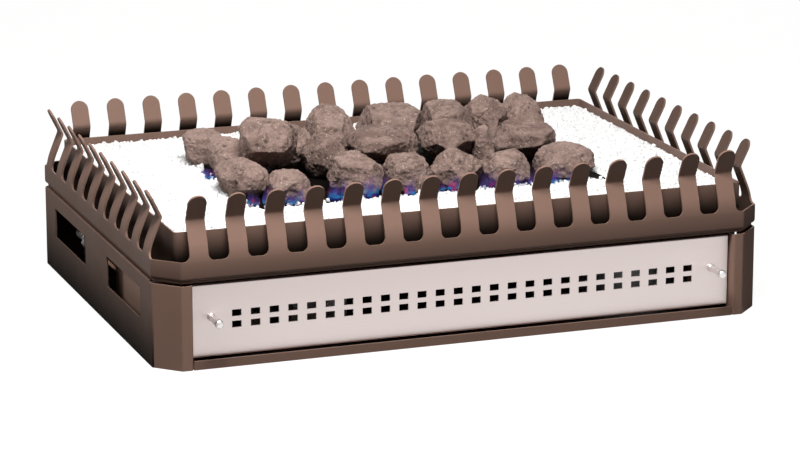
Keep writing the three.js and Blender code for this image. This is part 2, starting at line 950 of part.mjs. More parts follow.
function controlBracket() {
  const run = planRun([
    [controlLeft, controlY],
    [controlRight, controlY],
  ]);
  const bottom = baseSheet + seat;
  const profile = bentProfile(
    [
      [controlFoot, bottom],
      [0, bottom],
      [0, controlTop],
    ],
    controlSheet,
  );
  const holes = [
    roundCutter(spindleRadius + 2 * seat, controlY, controlSheet).translate(tapX, 0, controlHeight),
    roundCutter(buttonStem + 2 * seat, controlY, controlSheet).translate(igniterX, 0, controlHeight),
  ];
  return cut(foldedStrip(run, profile), holes);
}
addPiece('control_bracket', controlBracket(), zincPlate());

// Gas tap
// A cast body with a turning plug. The spindle and knob turn the plug and are pressed in to hold the pilot.
const valveFront = controlY + controlSheet + seat;
const valveHalfWidth = 18;
const valveLength = 48;
const valveBottom = 26;
const valveTop = 58;
const plugRadius = 7.2;
const plugClearance = 0.4;
const plugStart = 8;
const plugLength = 30;
const spindleClearance = 0.45;
const spindleReach = 16.5;
const spindleEntry = 27.5;
const spindleFront = controlY - spindleReach;
const spindleBack = controlY + spindleEntry;

function valveBody() {
  const block = slab(
    rectangle(tapX - valveHalfWidth, tapX + valveHalfWidth, valveFront, valveFront + valveLength),
    valveBottom,
    valveTop,
  );
  const bore = turned([
    [0, -cutOverrun],
    [plugRadius + plugClearance, -cutOverrun],
    [plugRadius + plugClearance, plugStart + plugLength + seat],
    [0, plugStart + plugLength + seat],
  ]);
  bore.translate(tapX, valveFront, controlHeight);
  return cut(block, [bore]);
}
addPiece('valve_body', valveBody(), castAlloy());

const plugBore = spindleRadius + spindleClearance;
const plugShape = turned([
  [plugBore, 0],
  [plugRadius, 0],
  [plugRadius, plugLength],
  [plugBore, plugLength],
  [plugBore, 0],
]);
addPiece('valve_plug', plugShape, brass(), { at: [tapX, valveFront + plugStart, controlHeight] });

const spindle = turned([
  [0, spindleFront],
  [spindleRadius, spindleFront],
  [spindleRadius, spindleBack],
  [0, spindleBack],
]);
addPiece('valve_spindle', spindle, zincPlate(), { at: [tapX, 0, controlHeight] });

// Control knob: a fluted cap on the end of the spindle with a raised pointer across its face
const knobRadius = 16;
const knobReach = 28.5;
const knobGap = 7.5;
const knobTaper = 1.5;
const knobSides = 20;
const pointerLength = 26;
const pointerWidth = 6;
const pointerDepth = 4;
const knobGrips = 10;
const gripRadius = 2.6;
const knobFront = controlY - knobReach;
const knobBack = controlY - knobGap;

function controlKnob() {
  const bore = spindleRadius + seat;
  const body = turned(
    [
      [0, knobFront],
      [knobRadius - knobTaper, knobFront],
      [knobRadius, knobBack],
      [0, knobBack],
    ],
    knobSides,
  );
  const pointer = new THREE.BoxGeometry(pointerWidth, pointerDepth + cutOverrun, pointerLength);
  pointer.translate(0, knobFront + (cutOverrun - pointerDepth) / 2, 0);
  const hole = turned([
    [0, spindleFront - seat],
    [bore, spindleFront - seat],
    [bore, knobBack + cutOverrun],
    [0, knobBack + cutOverrun],
  ]);
  const flutes = Array.from({ length: knobGrips }, (_, k) => {
    const angle = ((k + 0.5) * 2 * Math.PI) / knobGrips;
    const flute = turned(
      [
        [0, knobFront - cutOverrun],
        [gripRadius, knobFront - cutOverrun],
        [gripRadius, knobBack + cutOverrun],
        [0, knobBack + cutOverrun],
      ],
      pipeSides,
    );
    const reach = knobRadius + gripRadius / 2;
    return flute.translate(reach * Math.cos(angle), 0, reach * Math.sin(angle));
  });
  return cut(join([body, pointer]), [hole, ...flutes]);
}
addPiece('control_knob', controlKnob(), blackPlastic(), { at: [tapX, 0, controlHeight] });

// Igniter
// A piezo spark unit behind the bracket with a push button in front of it.
const igniterRadius = 9;
const igniterLength = 32;
const buttonCap = 7.5;
const buttonReach = 24.5;
const buttonGap = 10.5;
const buttonEdge = 1.2;
const buttonTravelRoom = 8;
const buttonInside = 12;
const buttonFront = controlY - buttonReach;
const buttonBack = controlY - buttonGap;

const igniterShape = turned([
  [buttonStem + seat, 0],
  [igniterRadius, 0],
  [igniterRadius, igniterLength],
  [0, igniterLength],
  [0, buttonInside + buttonTravelRoom],
  [buttonStem + seat, buttonInside + buttonTravelRoom],
  [buttonStem + seat, 0],
]);
addPiece('igniter_body', igniterShape, blackPlastic(), { at: [igniterX, valveFront, controlHeight] });

const buttonShape = turned([
  [0, buttonFront],
  [buttonCap - buttonEdge, buttonFront],
  [buttonCap, buttonFront + buttonEdge],
  [buttonCap, buttonBack],
  [buttonStem, buttonBack],
  [buttonStem, valveFront + buttonInside],
  [0, valveFront + buttonInside],
]);
addPiece('igniter_button', buttonShape, whiteCeramic(), { at: [igniterX, 0, controlHeight] });

// Gas inlet
// A bulkhead fitting in a small bracket behind the rear left window, locked by a hexagon nut.
const inletInset = 22;
const inletY = 100;
const inletHeight = 41;
const inletSheet = 2;
const inletHalfWidth = 8;
const inletPlateTop = 56;
const inletFoot = 18;
const inletBody = 5.5;
const inletFront = 22;
const inletCollar = 7.4;
const inletCollarLength = 3;
const nutLength = 9;
const nutRadius = 8.6;
const nutSides = 6;
const nutClearance = 0.35;
const tailStart = 14;
const tailRadius = 4;
const tailEnd = 52;
const tailTip = 3;
const tailTaper = 6;
const tailBore = 1.6;
const tailBoreDepth = 14;
const inletX = -halfWidth + inletInset;

function inletBracket() {
  const bottom = baseSheet + seat;
  const left = inletX - inletHalfWidth;
  const right = inletX + inletHalfWidth;
  const upright = slab(rectangle(left, right, inletY, inletY + inletSheet), bottom, inletPlateTop);
  const foot = slab(rectangle(left, right, inletY, inletY + inletFoot), bottom, bottom + inletSheet);
  const bore = roundCutter(inletBody + nutClearance, inletY, inletSheet);
  bore.translate(inletX, 0, inletHeight);
  return cut(join([upright, foot]), [bore]);
}
addPiece('inlet_bracket', inletBracket(), zincPlate());

const inletShape = turned([
  [0, -inletFront],
  [inletBody, -inletFront],
  [inletBody, -seat - inletCollarLength],
  [inletCollar, -seat - inletCollarLength],
  [inletCollar, -seat],
  [inletBody, -seat],
  [inletBody, tailStart],
  [tailRadius, tailStart],
  [tailRadius, tailEnd - tailTaper],
  [tailTip, tailEnd],
  [tailBore, tailEnd],
  [tailBore, tailEnd - tailBoreDepth],
  [0, tailEnd - tailBoreDepth],
]);
addPiece('inlet_fitting', inletShape, zincPlate(), { at: [inletX, inletY, inletHeight] });

const nutShape = new THREE.ExtrudeGeometry(
  shapeOf(circlePoints(0, 0, nutRadius, nutSides), [circlePoints(0, 0, inletBody + nutClearance)]),
  { depth: nutLength, bevelEnabled: false },
);
addPiece('inlet_nut', nutShape, zincPlate(), {
  at: [inletX, inletY + inletSheet + seat + nutLength, inletHeight],
  turn: [Math.PI / 2, 0, 0],
});

// Gas pipes
// Copper pipes from the inlet to the side of the tap, and from the back of the tap to the injector.
const gasPipe = 4;
const pipeLead = 18;
const outletHeight = 36;
const inletPortDepth = 29.5;
const inletPortY = controlY + inletPortDepth;
const valveBack = valveFront + valveLength;

const inletRoute = [
  [inletX, inletY - inletFront - seat, inletHeight],
  [inletX, inletPortY, inletHeight],
  [tapX - valveHalfWidth - seat, inletPortY, inletHeight],
];
addPiece('inlet_pipe', pipe(inletRoute, gasPipe), copper());

const burnerRoute = [
  [tapX, valveBack + seat, outletHeight],
  [tapX, mixerY, outletHeight],
  [bracketX - injectorTail - pipeLead, mixerY, trainHeight],
  [bracketX - injectorTail - seat, mixerY, trainHeight],
];
addPiece('burner_pipe', pipe(burnerRoute, gasPipe), copper());

// Pilot assembly
// Pilot, thermocouple and spark electrode stand side by side on a foot in the burner's free corner.
const pilotFootSheet = 1.5;
const pilotFootHalfWidth = 14.5;
const pilotFootHalfDepth = 12;
const pilotRadius = 3.4;
const pilotHood = 4.2;
const pilotRise = 21.2;
const hoodLength = 8;
const probeRadius = 2.5;
const probeRise = 27.2;
const insulatorRise = 19.2;
const sparkRise = 29.2;
const sparkRadius = 1;
const probeDrop = 6.8;
const pilotPipe = 2;
const leadRadius = 1.5;
const smallOutletHeight = 49;
const smallOutletOffset = 9;
const leadDrop = 18.6;

const footBottom = trayFloor + seat;
const pilotTop = footBottom + pilotRise;
const probeTop = footBottom + probeRise;
const insulatorTop = footBottom + insulatorRise;
const sparkTop = footBottom + sparkRise;
const probeStart = footBottom - probeDrop;
const underDeck = baseHeight - leadDrop;
const pilotPlaces = [-1, 0, 1].map((k) => pilotX + k * pilotSpacing);
const pilotHoles = [probeRadius, pilotRadius, probeRadius].map((radius, k) =>
  circlePoints(pilotPlaces[k], pilotRow, radius + seat),
);
const pilotFoot = rectangle(
  pilotX - pilotFootHalfWidth,
  pilotX + pilotFootHalfWidth,
  pilotRow - pilotFootHalfDepth,
  pilotRow + pilotFootHalfDepth,
);
const footShape = slab(pilotFoot, footBottom, footBottom + pilotFootSheet, pilotHoles);
addPiece('pilot_bracket', footShape, zincPlate());

// A turned piece that stands in the pilot's row.
function upright(profile, x) {
  return turned(profile).rotateX(Math.PI / 2).translate(x, pilotRow, 0);
}

// The way of a lead from below the pilot, down through the deck and forward to a port that faces back.
function leadRoute(x, start, port) {
  const [portX, portY, portZ] = port;
  return [
    [x, pilotRow, start],
    [x, pilotRow, underDeck],
    [portX, portY + pipeLead, portZ],
    [portX, portY, portZ],
  ];
}

function pilotBurner() {
  const profile = [
    [0, footBottom - pilotFootSheet],
    [pilotRadius, footBottom - pilotFootSheet],
    [pilotRadius, pilotTop - hoodLength],
    [pilotHood, pilotTop - hoodLength],
    [pilotHood, pilotTop],
    [0, pilotTop],
  ];
  return upright(profile, pilotPlaces[1]);
}
addPiece('pilot_burner', pilotBurner(), brass());

const pilotPort = [tapX + smallOutletOffset, valveBack + seat, smallOutletHeight];
const pilotRoute = leadRoute(pilotPlaces[1], footBottom - pilotFootSheet - seat, pilotPort);
addPiece('pilot_pipe', pipe(pilotRoute, pilotPipe), copper());

function thermocouple() {
  const profile = [
    [0, probeStart - leadRadius],
    [probeRadius, probeStart - leadRadius],
    [probeRadius, probeTop - probeRadius],
    [probeRadius / 2, probeTop],
    [0, probeTop],
  ];
  const port = [tapX - smallOutletOffset, valveBack + seat, smallOutletHeight];
  const lead = pipe(leadRoute(pilotPlaces[0], probeStart, port), leadRadius);
  return join([upright(profile, pilotPlaces[0]), lead]);
}
addPiece('thermocouple', thermocouple(), copper());

function sparkElectrode() {
  const profile = [
    [0, probeStart - leadRadius],
    [probeRadius, probeStart - leadRadius],
    [probeRadius, insulatorTop],
    [sparkRadius, insulatorTop],
    [sparkRadius, sparkTop],
    [0, sparkTop],
  ];
  const port = [igniterX, valveFront + igniterLength + seat, controlHeight];
  const lead = pipe(leadRoute(pilotPlaces[2], probeStart, port), leadRadius);
  return join([upright(profile, pilotPlaces[2]), lead]);
}
addPiece('spark_electrode', sparkElectrode(), whiteCeramic());

// Coals
// Ceramic lumps heaped in three rows on the burner. A coal's shares give its place across the burner, back
// through it and up from the bed, its half-sizes, and its lean.
const coalLean = Math.PI / 4;
const coalShares = {
  coal_01: [-0.94, 0.94, 0.31, 0.38, 0.54, 0.34, -0.1],
  coal_02: [-0.89, 0.46, 0.33, 0.37, 0.58, 0.38, 0.1],
  coal_03: [-0.94, -0.36, 0.3, 0.47, 0.66, 0.35, -0.15],
  coal_04: [-0.73, 0.02, 0.77, 0.51, 0.76, 0.47, 0.05],
  coal_05: [-0.74, -0.66, 0.17, 0.42, 0.58, 0.35, 0],
  coal_06: [-0.53, 0.5, 0.4, 0.46, 0.54, 0.44, 0.1],
  coal_07: [-0.27, 0.64, 0.51, 0.47, 0.68, 0.58, 0.1],
  coal_08: [-0.41, 0.02, 0.38, 0.4, 0.64, 0.42, 0.45],
  coal_09: [0.09, 0.65, 0.48, 0.61, 0.74, 0.54, 0],
  coal_10: [-0.09, -0.06, 0.6, 0.65, 0.84, 0.29, 0.08],
  coal_11: [-0.37, -0.66, 0.29, 0.5, 0.62, 0.5, 0.05],
  coal_12: [-0.07, -0.64, 0.22, 0.45, 0.62, 0.42, 0],
  coal_13: [0.43, 0.68, 0.46, 0.49, 0.68, 0.52, 0],
  coal_14: [0.29, 0.02, 0.53, 0.54, 0.76, 0.38, 0.1],
  coal_15: [0.67, 0.68, 0.49, 0.37, 0.68, 0.55, 0.1],
  coal_16: [0.47, -0.12, 0.37, 0.22, 0.52, 0.41, 0],
  coal_17: [0.22, -0.6, 0.23, 0.47, 0.58, 0.39, 0.1],
  coal_18: [0.5, -0.6, 0.16, 0.43, 0.58, 0.37, 0],
  coal_19: [0.88, 0.7, 0.46, 0.39, 0.68, 0.52, -0.1],
  coal_20: [0.76, 0.08, 0.39, 0.56, 0.76, 0.37, 0],
  coal_21: [0.85, -0.58, 0.14, 0.56, 0.66, 0.42, 0.1],
};
const lumpPower = 2.8; // 2 is an ellipsoid, and more is blockier
const lumpShare = 0.07;
const lumpDetail = 1;
const lumpWaves = [2.3, 3.1, 4.3];
const blockShare = 4; // the size of a trimming block, in coals
const chipCount = 7;
const chipShares = [0.84, 0.9, 0.86]; // how far out a broken face lies, as shares of the coal's reach

const coals = Object.entries(coalShares).map(([name, shares], k) => {
  const [across, back, up, wide, deep, tall, lean] = shares;
  const middle = (burnerFront + burnerBack) / 2;
  return {
    name,
    seed: k + 1,
    centre: new THREE.Vector3(
      across * burnerHalf,
      middle + (back * (burnerBack - burnerFront)) / 2,
      bedTop + up * coalSize,
    ),
    radii: new THREE.Vector3(wide, deep, tall).multiplyScalar(coalSize),
    turn: new THREE.Quaternion().setFromAxisAngle(new THREE.Vector3(0, 1, 0), -lean * coalLean),
  };
});

function powerLength(point, power) {
  const sum = Math.abs(point.x) ** power + Math.abs(point.y) ** power + Math.abs(point.z) ** power;
  return sum ** (1 / power);
}

// A lumpy closed stone: a subdivided icosahedron pushed in and out by slow waves.
function lump({ radii, turn, seed, centre }) {
  const geometry = new THREE.IcosahedronGeometry(1, lumpDetail);
  const position = geometry.attributes.position;
  const point = new THREE.Vector3();
  for (let k = 0; k < position.count; k += 1) {
    point.fromBufferAttribute(position, k);
    const [a, b, c] = lumpWaves;
    const wave =
      Math.sin(a * point.x + seed) + Math.sin(b * point.y + 2 * seed) + Math.sin(c * point.z + 3 * seed);
    point.multiplyScalar((1 + (lumpShare * wave) / lumpWaves.length) / powerLength(point, lumpPower));
    point.multiply(radii).applyQuaternion(turn).add(centre);
    position.setXYZ(k, point.x, point.y, point.z);
  }
  return geometry;
}

// How far a coal reaches from its centre along a direction.
function reachOf(coal, way) {
  const local = way.clone().applyQuaternion(coal.turn.clone().invert()).multiply(coal.radii);
  return powerLength(local, lumpPower / (lumpPower - 1)) * (1 + lumpShare);
}

// A large block that takes away all of a coal beyond a plane, where it rests on the bed or on a neighbour.
function beyond(coal, way, distance) {
  const size = blockShare * coalSize;
  const block = new THREE.BoxGeometry(size, size, size).translate(0, 0, size / 2);
  const turn = new THREE.Quaternion().setFromUnitVectors(new THREE.Vector3(0, 0, 1), way);
  const foot = coal.centre.clone().addScaledVector(way, distance);
  return block.applyQuaternion(turn).translate(foot.x, foot.y, foot.z);
}

// Flat broken faces, spread evenly round the coal from a start that differs from coal to coal.
function chips(coal) {
  const turnBetween = Math.PI * (3 - Math.sqrt(5));
  return Array.from({ length: chipCount }, (_, k) => {
    const height = 1 - (2 * (k + 1)) / (chipCount + 1);
    const level = Math.sqrt(1 - height * height);
    const angle = k * turnBetween + coal.seed;
    const way = new THREE.Vector3(level * Math.cos(angle), level * Math.sin(angle), height);
    return beyond(coal, way, reachOf(coal, way) * chipShares[(k + coal.seed) % chipShares.length]);
  });
}

function coalBody(coal) {
  const down = new THREE.Vector3(0, 0, -1);
  const cutters = [beyond(coal, down, coal.centre.z - bedTop - seat)];
  for (const other of coals.filter((each) => each !== coal)) {
    const gap = other.centre.clone().sub(coal.centre);
    const sum = coal.radii.clone().add(other.radii);
    const way = gap.clone().divide(sum).divide(sum).normalize();
    const apart = way.dot(gap);
    const own = reachOf(coal, way);
    const theirs = reachOf(other, way);
    if (own + theirs > apart) {
      cutters.push(beyond(coal, way, (apart * own) / (own + theirs) - seat / 2));
    }
  }
  return cut(lump(coal), [...cutters, ...chips(coal)]);
}

for (const coal of coals) {
  addPiece(coal.name, coalBody(coal), coalCeramic());
}

export default basket;
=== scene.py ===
"""Decorative gas coal fire: the looks of its painted casing, slotted front panel, fret of bent fingers,
granule bed, ceramic coals and small gas flames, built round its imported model. Sizes are in metres."""

import itertools
import math

import bmesh
import bpy
import numpy as np
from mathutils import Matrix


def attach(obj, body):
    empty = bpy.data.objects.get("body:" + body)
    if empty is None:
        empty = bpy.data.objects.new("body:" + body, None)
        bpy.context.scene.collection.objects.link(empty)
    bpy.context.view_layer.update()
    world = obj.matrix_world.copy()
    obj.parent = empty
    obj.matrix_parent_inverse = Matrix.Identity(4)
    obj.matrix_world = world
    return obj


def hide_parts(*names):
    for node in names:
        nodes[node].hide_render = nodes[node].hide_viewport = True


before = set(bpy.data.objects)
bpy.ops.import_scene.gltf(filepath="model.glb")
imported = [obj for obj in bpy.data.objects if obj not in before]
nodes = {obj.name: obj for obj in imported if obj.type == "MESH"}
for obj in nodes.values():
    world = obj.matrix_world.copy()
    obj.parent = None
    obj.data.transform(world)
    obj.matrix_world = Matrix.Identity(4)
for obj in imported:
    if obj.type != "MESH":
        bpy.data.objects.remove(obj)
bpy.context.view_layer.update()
scene = bpy.context.scene


# The view
# A long lens well to the left of the front and a little above it, fitted to the corners of the casing, the
# tips of the fingers and the rim of the tray.
VIEW_PLACE = (-1.10098, -3.05749, 0.90264)
VIEW_TILT = 75.47
VIEW_SWING = -19.92
LENS = 154.1
NEAREST = 0.05
FARTHEST = 60
camera = bpy.data.objects.new("view", bpy.data.cameras.new("view"))
scene.collection.objects.link(camera)
camera.location = VIEW_PLACE
camera.rotation_euler = (math.radians(VIEW_TILT), 0, math.radians(VIEW_SWING))
camera.data.lens = LENS
camera.data.clip_start = NEAREST
camera.data.clip_end = FARTHEST
scene.camera = camera
scene.view_settings.view_transform = "Standard"


# The studio
# A pale floor under a soft sky that is brightest overhead, a softbox high above the front left, and weak ones
# low in front, behind and at the left. The camera sees floor and sky as white, and polished metal sees the
# floor in front of the object, and less of it far to the left.
FLOOR_HALF = 7.0
FLOOR_COLOUR = (0.09, 0.0885, 0.087)
FLOOR_LIFT = 0.94
CARD_BACK = -0.2
CARD_LEFT = -0.3
CARD_FADE = 0.01
SIDE_CARD_START = -0.34
SIDE_CARD_END = -0.5
SIDE_CARD_LEVEL = 0.6
SKY_COLOUR = (1, 0.985, 0.97)
SKY_MIRRORED = 0.7
SKY_TOP = 0.22
SKY_SIDE = 0.03
SKY_BELOW = 0.01
BELOW_FADE = -0.2
AHEAD_START = 0.1
AHEAD_FULL = -0.3

# Each softbox: its place, what it faces, its width, its height and its power in watts.
SOFTBOXES = {
    "high_box": ((-0.28, -0.68, 1.3), (-0.1, -0.05, 0.1), 0.7, 0.4, 36),
    "low_box": ((0.5, -2.6, 0.9), (0, 0, 0.1), 1.6, 0.8, 0.8),
    "back_box": ((0.9, 2.2, 0.9), (0, 0, 0.05), 1.8, 1.0, 9),
    "left_box": ((-1.0, 0.55, 0.7), (-0.3, 0.1, 0.06), 0.4, 0.3, 2.8),
}


def new_material(name):
    """A node material with an empty tree, and that tree."""
    made = bpy.data.materials.new(name)
    made.use_nodes = True
    made.node_tree.nodes.clear()
    return made, made.node_tree


def shader(tree, kind, inputs=None, **settings):
    """A node of that kind with its settings. Each input is a value, or the output that feeds it."""
    made = tree.nodes.new("ShaderNode" + kind)
    for key, value in settings.items():
        setattr(made, key, value)
    for key, value in (inputs or {}).items():
        if isinstance(value, bpy.types.NodeSocket):
            tree.links.new(value, made.inputs[key])
        else:
            made.inputs[key].default_value = value
    return made


def ramped(tree, value, low, high, start=0.0, end=1.0, curve="LINEAR"):
    """How far a value is from low to high, held between them and carried over to start and end."""
    inputs = {"Value": value, "From Min": low, "From Max": high, "To Min": start, "To Max": end}
    return shader(tree, "MapRange", inputs, interpolation_type=curve).outputs[0]


def worked(tree, operation, first, second=0.0):
    """The result of one step of arithmetic on two values."""
    return shader(tree, "Math", {0: first, 1: second}, operation=operation).outputs[0]


def build_floor():
    """A plain floor that looks brighter than its own paint to the camera, and in front of the object to
    rays that polished metal mirrors."""
    mesh = bpy.data.meshes.new("floor")
    corners = [(x * FLOOR_HALF, y * FLOOR_HALF, 0) for x, y in ((-1, -1), (1, -1), (1, 1), (-1, 1))]
    mesh.from_pydata(corners, [], [(0, 1, 2, 3)])
    made = bpy.data.objects.new("floor", mesh)
    scene.collection.objects.link(made)
    material, tree = new_material("floor")
    path = shader(tree, "LightPath").outputs
    place = shader(tree, "SeparateXYZ", {"Vector": shader(tree, "TexCoord").outputs["Object"]}).outputs
    ahead = ramped(tree, place["Y"], CARD_BACK, CARD_BACK - CARD_FADE)
    beside = ramped(tree, place["X"], CARD_LEFT - CARD_FADE, CARD_LEFT)
    away = ramped(tree, place["X"], SIDE_CARD_START, SIDE_CARD_END, end=SIDE_CARD_LEVEL)
    card = worked(tree, "ADD", worked(tree, "MULTIPLY", ahead, beside), away)
    mirrored = worked(tree, "MAXIMUM", path["Is Glossy Ray"], path["Is Transmission Ray"])
    mirrored = worked(tree, "MULTIPLY", mirrored, card)
    seen = worked(tree, "MAXIMUM", path["Is Camera Ray"], mirrored)
    lift = worked(tree, "MULTIPLY", seen, FLOOR_LIFT)
    paint = shader(tree, "BsdfDiffuse", {"Color": (*FLOOR_COLOUR, 1)})
    glow = shader(tree, "Emission", {"Color": (1, 1, 1, 1), "Strength": lift})
    both = shader(tree, "AddShader", {0: paint.outputs[0], 1: glow.outputs[0]})
    shader(tree, "OutputMaterial", {"Surface": both.outputs[0]})
    mesh.materials.append(material)


def build_sky():
    """The light from a direction grows smoothly from the floor's level to straight overhead. What metal
    mirrors of its front half is brighter."""
    world = bpy.data.worlds.new("sky")
    scene.world = world
    world.use_nodes = True
    tree = world.node_tree
    tree.nodes.clear()
    way = shader(tree, "SeparateXYZ", {"Vector": shader(tree, "TexCoord").outputs["Generated"]}).outputs
    path = shader(tree, "LightPath").outputs
    upper = ramped(tree, way["Z"], 0, 1, SKY_SIDE, SKY_TOP)
    lower = ramped(tree, way["Z"], BELOW_FADE, 0, SKY_BELOW - SKY_SIDE, 0)
    ahead = ramped(tree, way["Y"], AHEAD_START, AHEAD_FULL, end=SKY_MIRRORED)
    strength = worked(tree, "ADD", upper, lower)
    strength = worked(tree, "ADD", strength, worked(tree, "MULTIPLY", ahead, path["Is Glossy Ray"]))
    light = shader(tree, "Background", {"Color": (*SKY_COLOUR, 1), "Strength": strength})
    white = shader(tree, "Background", {"Color": (1, 1, 1, 1), "Strength": 1.0})
    both = shader(tree, "MixShader", {0: path["Is Camera Ray"], 1: light.outputs[0], 2: white.outputs[0]})
    shader(tree, "OutputWorld", {"Surface": both.outputs[0]})


def softbox(name, place, target, width, height, power):
    """A rectangular lamp that faces its target."""
    data = bpy.data.lights.new(name, "AREA")
    data.shape = "RECTANGLE"
    data.size, data.size_y = width, height
    data.energy = power
    made = bpy.data.objects.new(name, data)
    scene.collection.objects.link(made)
    made.location = place
    ahead = np.array(target) - np.array(place)
    swing = math.atan2(ahead[1], ahead[0]) - math.pi / 2
    tilt = math.atan2(ahead[2], math.hypot(ahead[0], ahead[1])) + math.pi / 2
    made.rotation_euler = (tilt, 0, swing)


build_floor()
build_sky()
for box_name, box_values in SOFTBOXES.items():
    softbox(box_name, *box_values)


# Base casing
# The casing is thin steel, folded on a press brake, welded at the corners and stoved in a satin brown. Each
# of its two side walls turns round the cut corners and in behind the panel, and is painted darker towards
# its foot: painted shade for the floor's shadow that the satin paint mirrors.
HALF_WIDTH = 0.300
HALF_DEPTH = 0.211
FRONT_CUT = 0.0224
REAR_CUT = 0.014
CASING_HEIGHT = 0.0806
CASING_SHEET = 0.0015
PILLAR_EDGE = 0.267
PILLAR_RETURN = 0.014
TOP_FLANGE = 0.012
FLANGE_RELIEF = 0.006
FOLD_RADIUS = 0.003
SHARE_OF_LEG = 0.45
WINDOW_FOOT = 0.0363
WINDOW_HEAD = 0.0658
WINDOW_ENDS = ((-0.152, -0.036), (0.042, 0.158))
SEAM = 0.00015
CUT_EDGE = 0.0003
SAME_PLACE = 1e-9
SAME_POINT = 1e-6
SHARP_EDGE = math.radians(50)
# The near black that painted shade runs to.
SHADE_BLACK = (0.006, 0.004, 0.003)
BROWN = (0.215, 0.132, 0.102)
BROWN_DARK = (0.185, 0.112, 0.086)
WARM_SHEEN = (1, 0.8, 0.7, 1)
CLOUD_SCALE = 14
PEEL_SCALE = 900
PEEL_DEPTH = 0.0004


def rounded_line(corners, radius, steps=5):
    """A line through 2-D corners whose inner corners become arcs of one radius or of a radius each. An arc
    that turns by w starts radius * tan(w / 2) before its corner and ends as far beyond it, and its points
    lie at equal turns about the centre. Returns the points, the unit normals to the left and the lengths
    along the line."""
    corners = np.asarray(corners, float)
    legs = np.diff(corners, axis=0)
    lengths = np.linalg.norm(legs, axis=1)
    ways_of_legs = legs / lengths[:, None]
    radii = np.broadcast_to(radius, max(len(corners) - 2, 1))
    points, ways = [corners[0]], [ways_of_legs[0]]
    for k in range(1, len(corners) - 1):
        before, after = ways_of_legs[k - 1], ways_of_legs[k]
        turn = math.atan2(before[0] * after[1] - before[1] * after[0], before @ after)
        half_turn = math.tan(abs(turn) / 2)
        bend = min(radii[k - 1], SHARE_OF_LEG * min(lengths[k - 1], lengths[k]) / max(half_turn, SAME_PLACE))
        start = corners[k] - before * bend * half_turn
        centre = start + math.copysign(bend, turn) * np.array([-before[1], before[0]])
        angles = np.linspace(0, turn, steps + 1)
        cos, sin = np.cos(angles), np.sin(angles)
        out = start - centre
        points.extend(centre + np.stack([cos * out[0] - sin * out[1], sin * out[0] + cos * out[1]], 1))
        ways.extend(np.stack([cos * before[0] - sin * before[1], sin * before[0] + cos * before[1]], 1))
    points, ways = np.array([*points, corners[-1]]), np.array([*ways, ways_of_legs[-1]])
    steps_along = np.linalg.norm(np.diff(points, axis=0), axis=1)
    return points, np.stack([-ways[:, 1], ways[:, 0]], 1), np.concatenate([[0], np.cumsum(steps_along)])


def along(line, stations):
    """Points and normals of a rounded line at given lengths along it."""
    points, normals, lengths = line
    take = lambda values: np.stack([np.interp(stations, lengths, values[:, k]) for k in (0, 1)], 1)
    turned = take(normals)
    return take(points), turned / np.linalg.norm(turned, axis=1)[:, None]


def grid_faces(rows, columns, kept=None, closed=False):
    """Quads of a grid of rows by columns of points, all or only the kept cells. A closed grid's last
    column joins its first."""
    index = np.arange(rows * columns).reshape(rows, columns)
    right = np.roll(index, -1, axis=1) if closed else index[:, 1:]
    left = index if closed else index[:, :-1]
    quads = np.stack([left[:-1], right[:-1], right[1:], left[1:]], -1)
    return quads[kept] if kept is not None else quads.reshape(-1, 4)


def merge_close(mesh, distance):
    """Points closer than that become one, and those of no face go."""
    work = bmesh.new()
    work.from_mesh(mesh)
    bmesh.ops.remove_doubles(work, verts=work.verts, dist=distance)
    bmesh.ops.delete(work, geom=[v for v in work.verts if not v.link_faces], context="VERTS")
    work.to_mesh(mesh)
    work.free()


def new_piece(name, points, faces, material, merge=0.0):
    """A shown object at the origin from arrays of points and faces, smooth-shaded. Points closer than
    merge become one."""
    mesh = bpy.data.meshes.new(name)
    mesh.from_pydata(np.asarray(points).reshape(-1, 3).tolist(), [], [list(face) for face in faces])
    if merge:
        merge_close(mesh, merge)
    mesh.shade_smooth()
    mesh.materials.append(material)
    made = bpy.data.objects.new(name, mesh)
    scene.collection.objects.link(made)
    return made


def give_thickness(piece, thickness, edge=CUT_EDGE, inner=None):
    """Turns a surface into sheet metal: a wall behind it, eased cut edges and flat-looking faces. The wall
    behind can have a finish of its own."""
    wall = piece.modifiers.new("wall", "SOLIDIFY")
    if inner:
        piece.data.materials.append(inner)
        wall.material_offset = 1
    wall.thickness = thickness
    wall.offset = -1
    wall.use_even_offset = True
    ease = piece.modifiers.new("edge", "BEVEL")
    ease.width = edge
    ease.segments = 2
    ease.limit_method = "ANGLE"
    ease.angle_limit = SHARP_EDGE
    level = piece.modifiers.new("flat", "WEIGHTED_NORMAL")
    level.keep_sharp = False


def sheet_grid(plan, profile, columns, rows, kept=None):
    """A sheet that runs along a plan line with a bent cross-section: the point at length u along the plan
    and s along the profile is plan(u) + normal(u) * inset(s) at height z(s). kept(u, s) says which
    cells of the grid are there. Returns its points and faces."""
    columns = np.unique(np.round(np.concatenate([plan[2], columns]), 7))
    rows = np.unique(np.round(np.concatenate([profile[2], rows]), 7))
    columns, rows = np.clip(columns, 0, plan[2][-1]), np.clip(rows, 0, profile[2][-1])
    base, inward = along(plan, columns)
    shape, _ = along(profile, rows)
    inset, height = shape[:, 0][:, None, None], shape[:, 1]
    flat = base[None] + inward[None] * inset
    points = np.concatenate([flat, np.broadcast_to(height[:, None, None], (*flat.shape[:2], 1))], -1)
    cells = None
    if kept is not None:
        middle_u, middle_s = (columns[1:] + columns[:-1]) / 2, (rows[1:] + rows[:-1]) / 2
        cells = kept(middle_u[None, :], middle_s[:, None])
    return points.reshape(-1, 3), grid_faces(len(rows), len(columns), cells)


def joined(*grids):
    """Several grids' points and faces as one."""
    starts = np.cumsum([0] + [len(points) for points, _ in grids[:-1]])
    faces = np.concatenate([faces + start for (_, faces), start in zip(grids, starts)])
    return np.concatenate([points for points, _ in grids]), faces


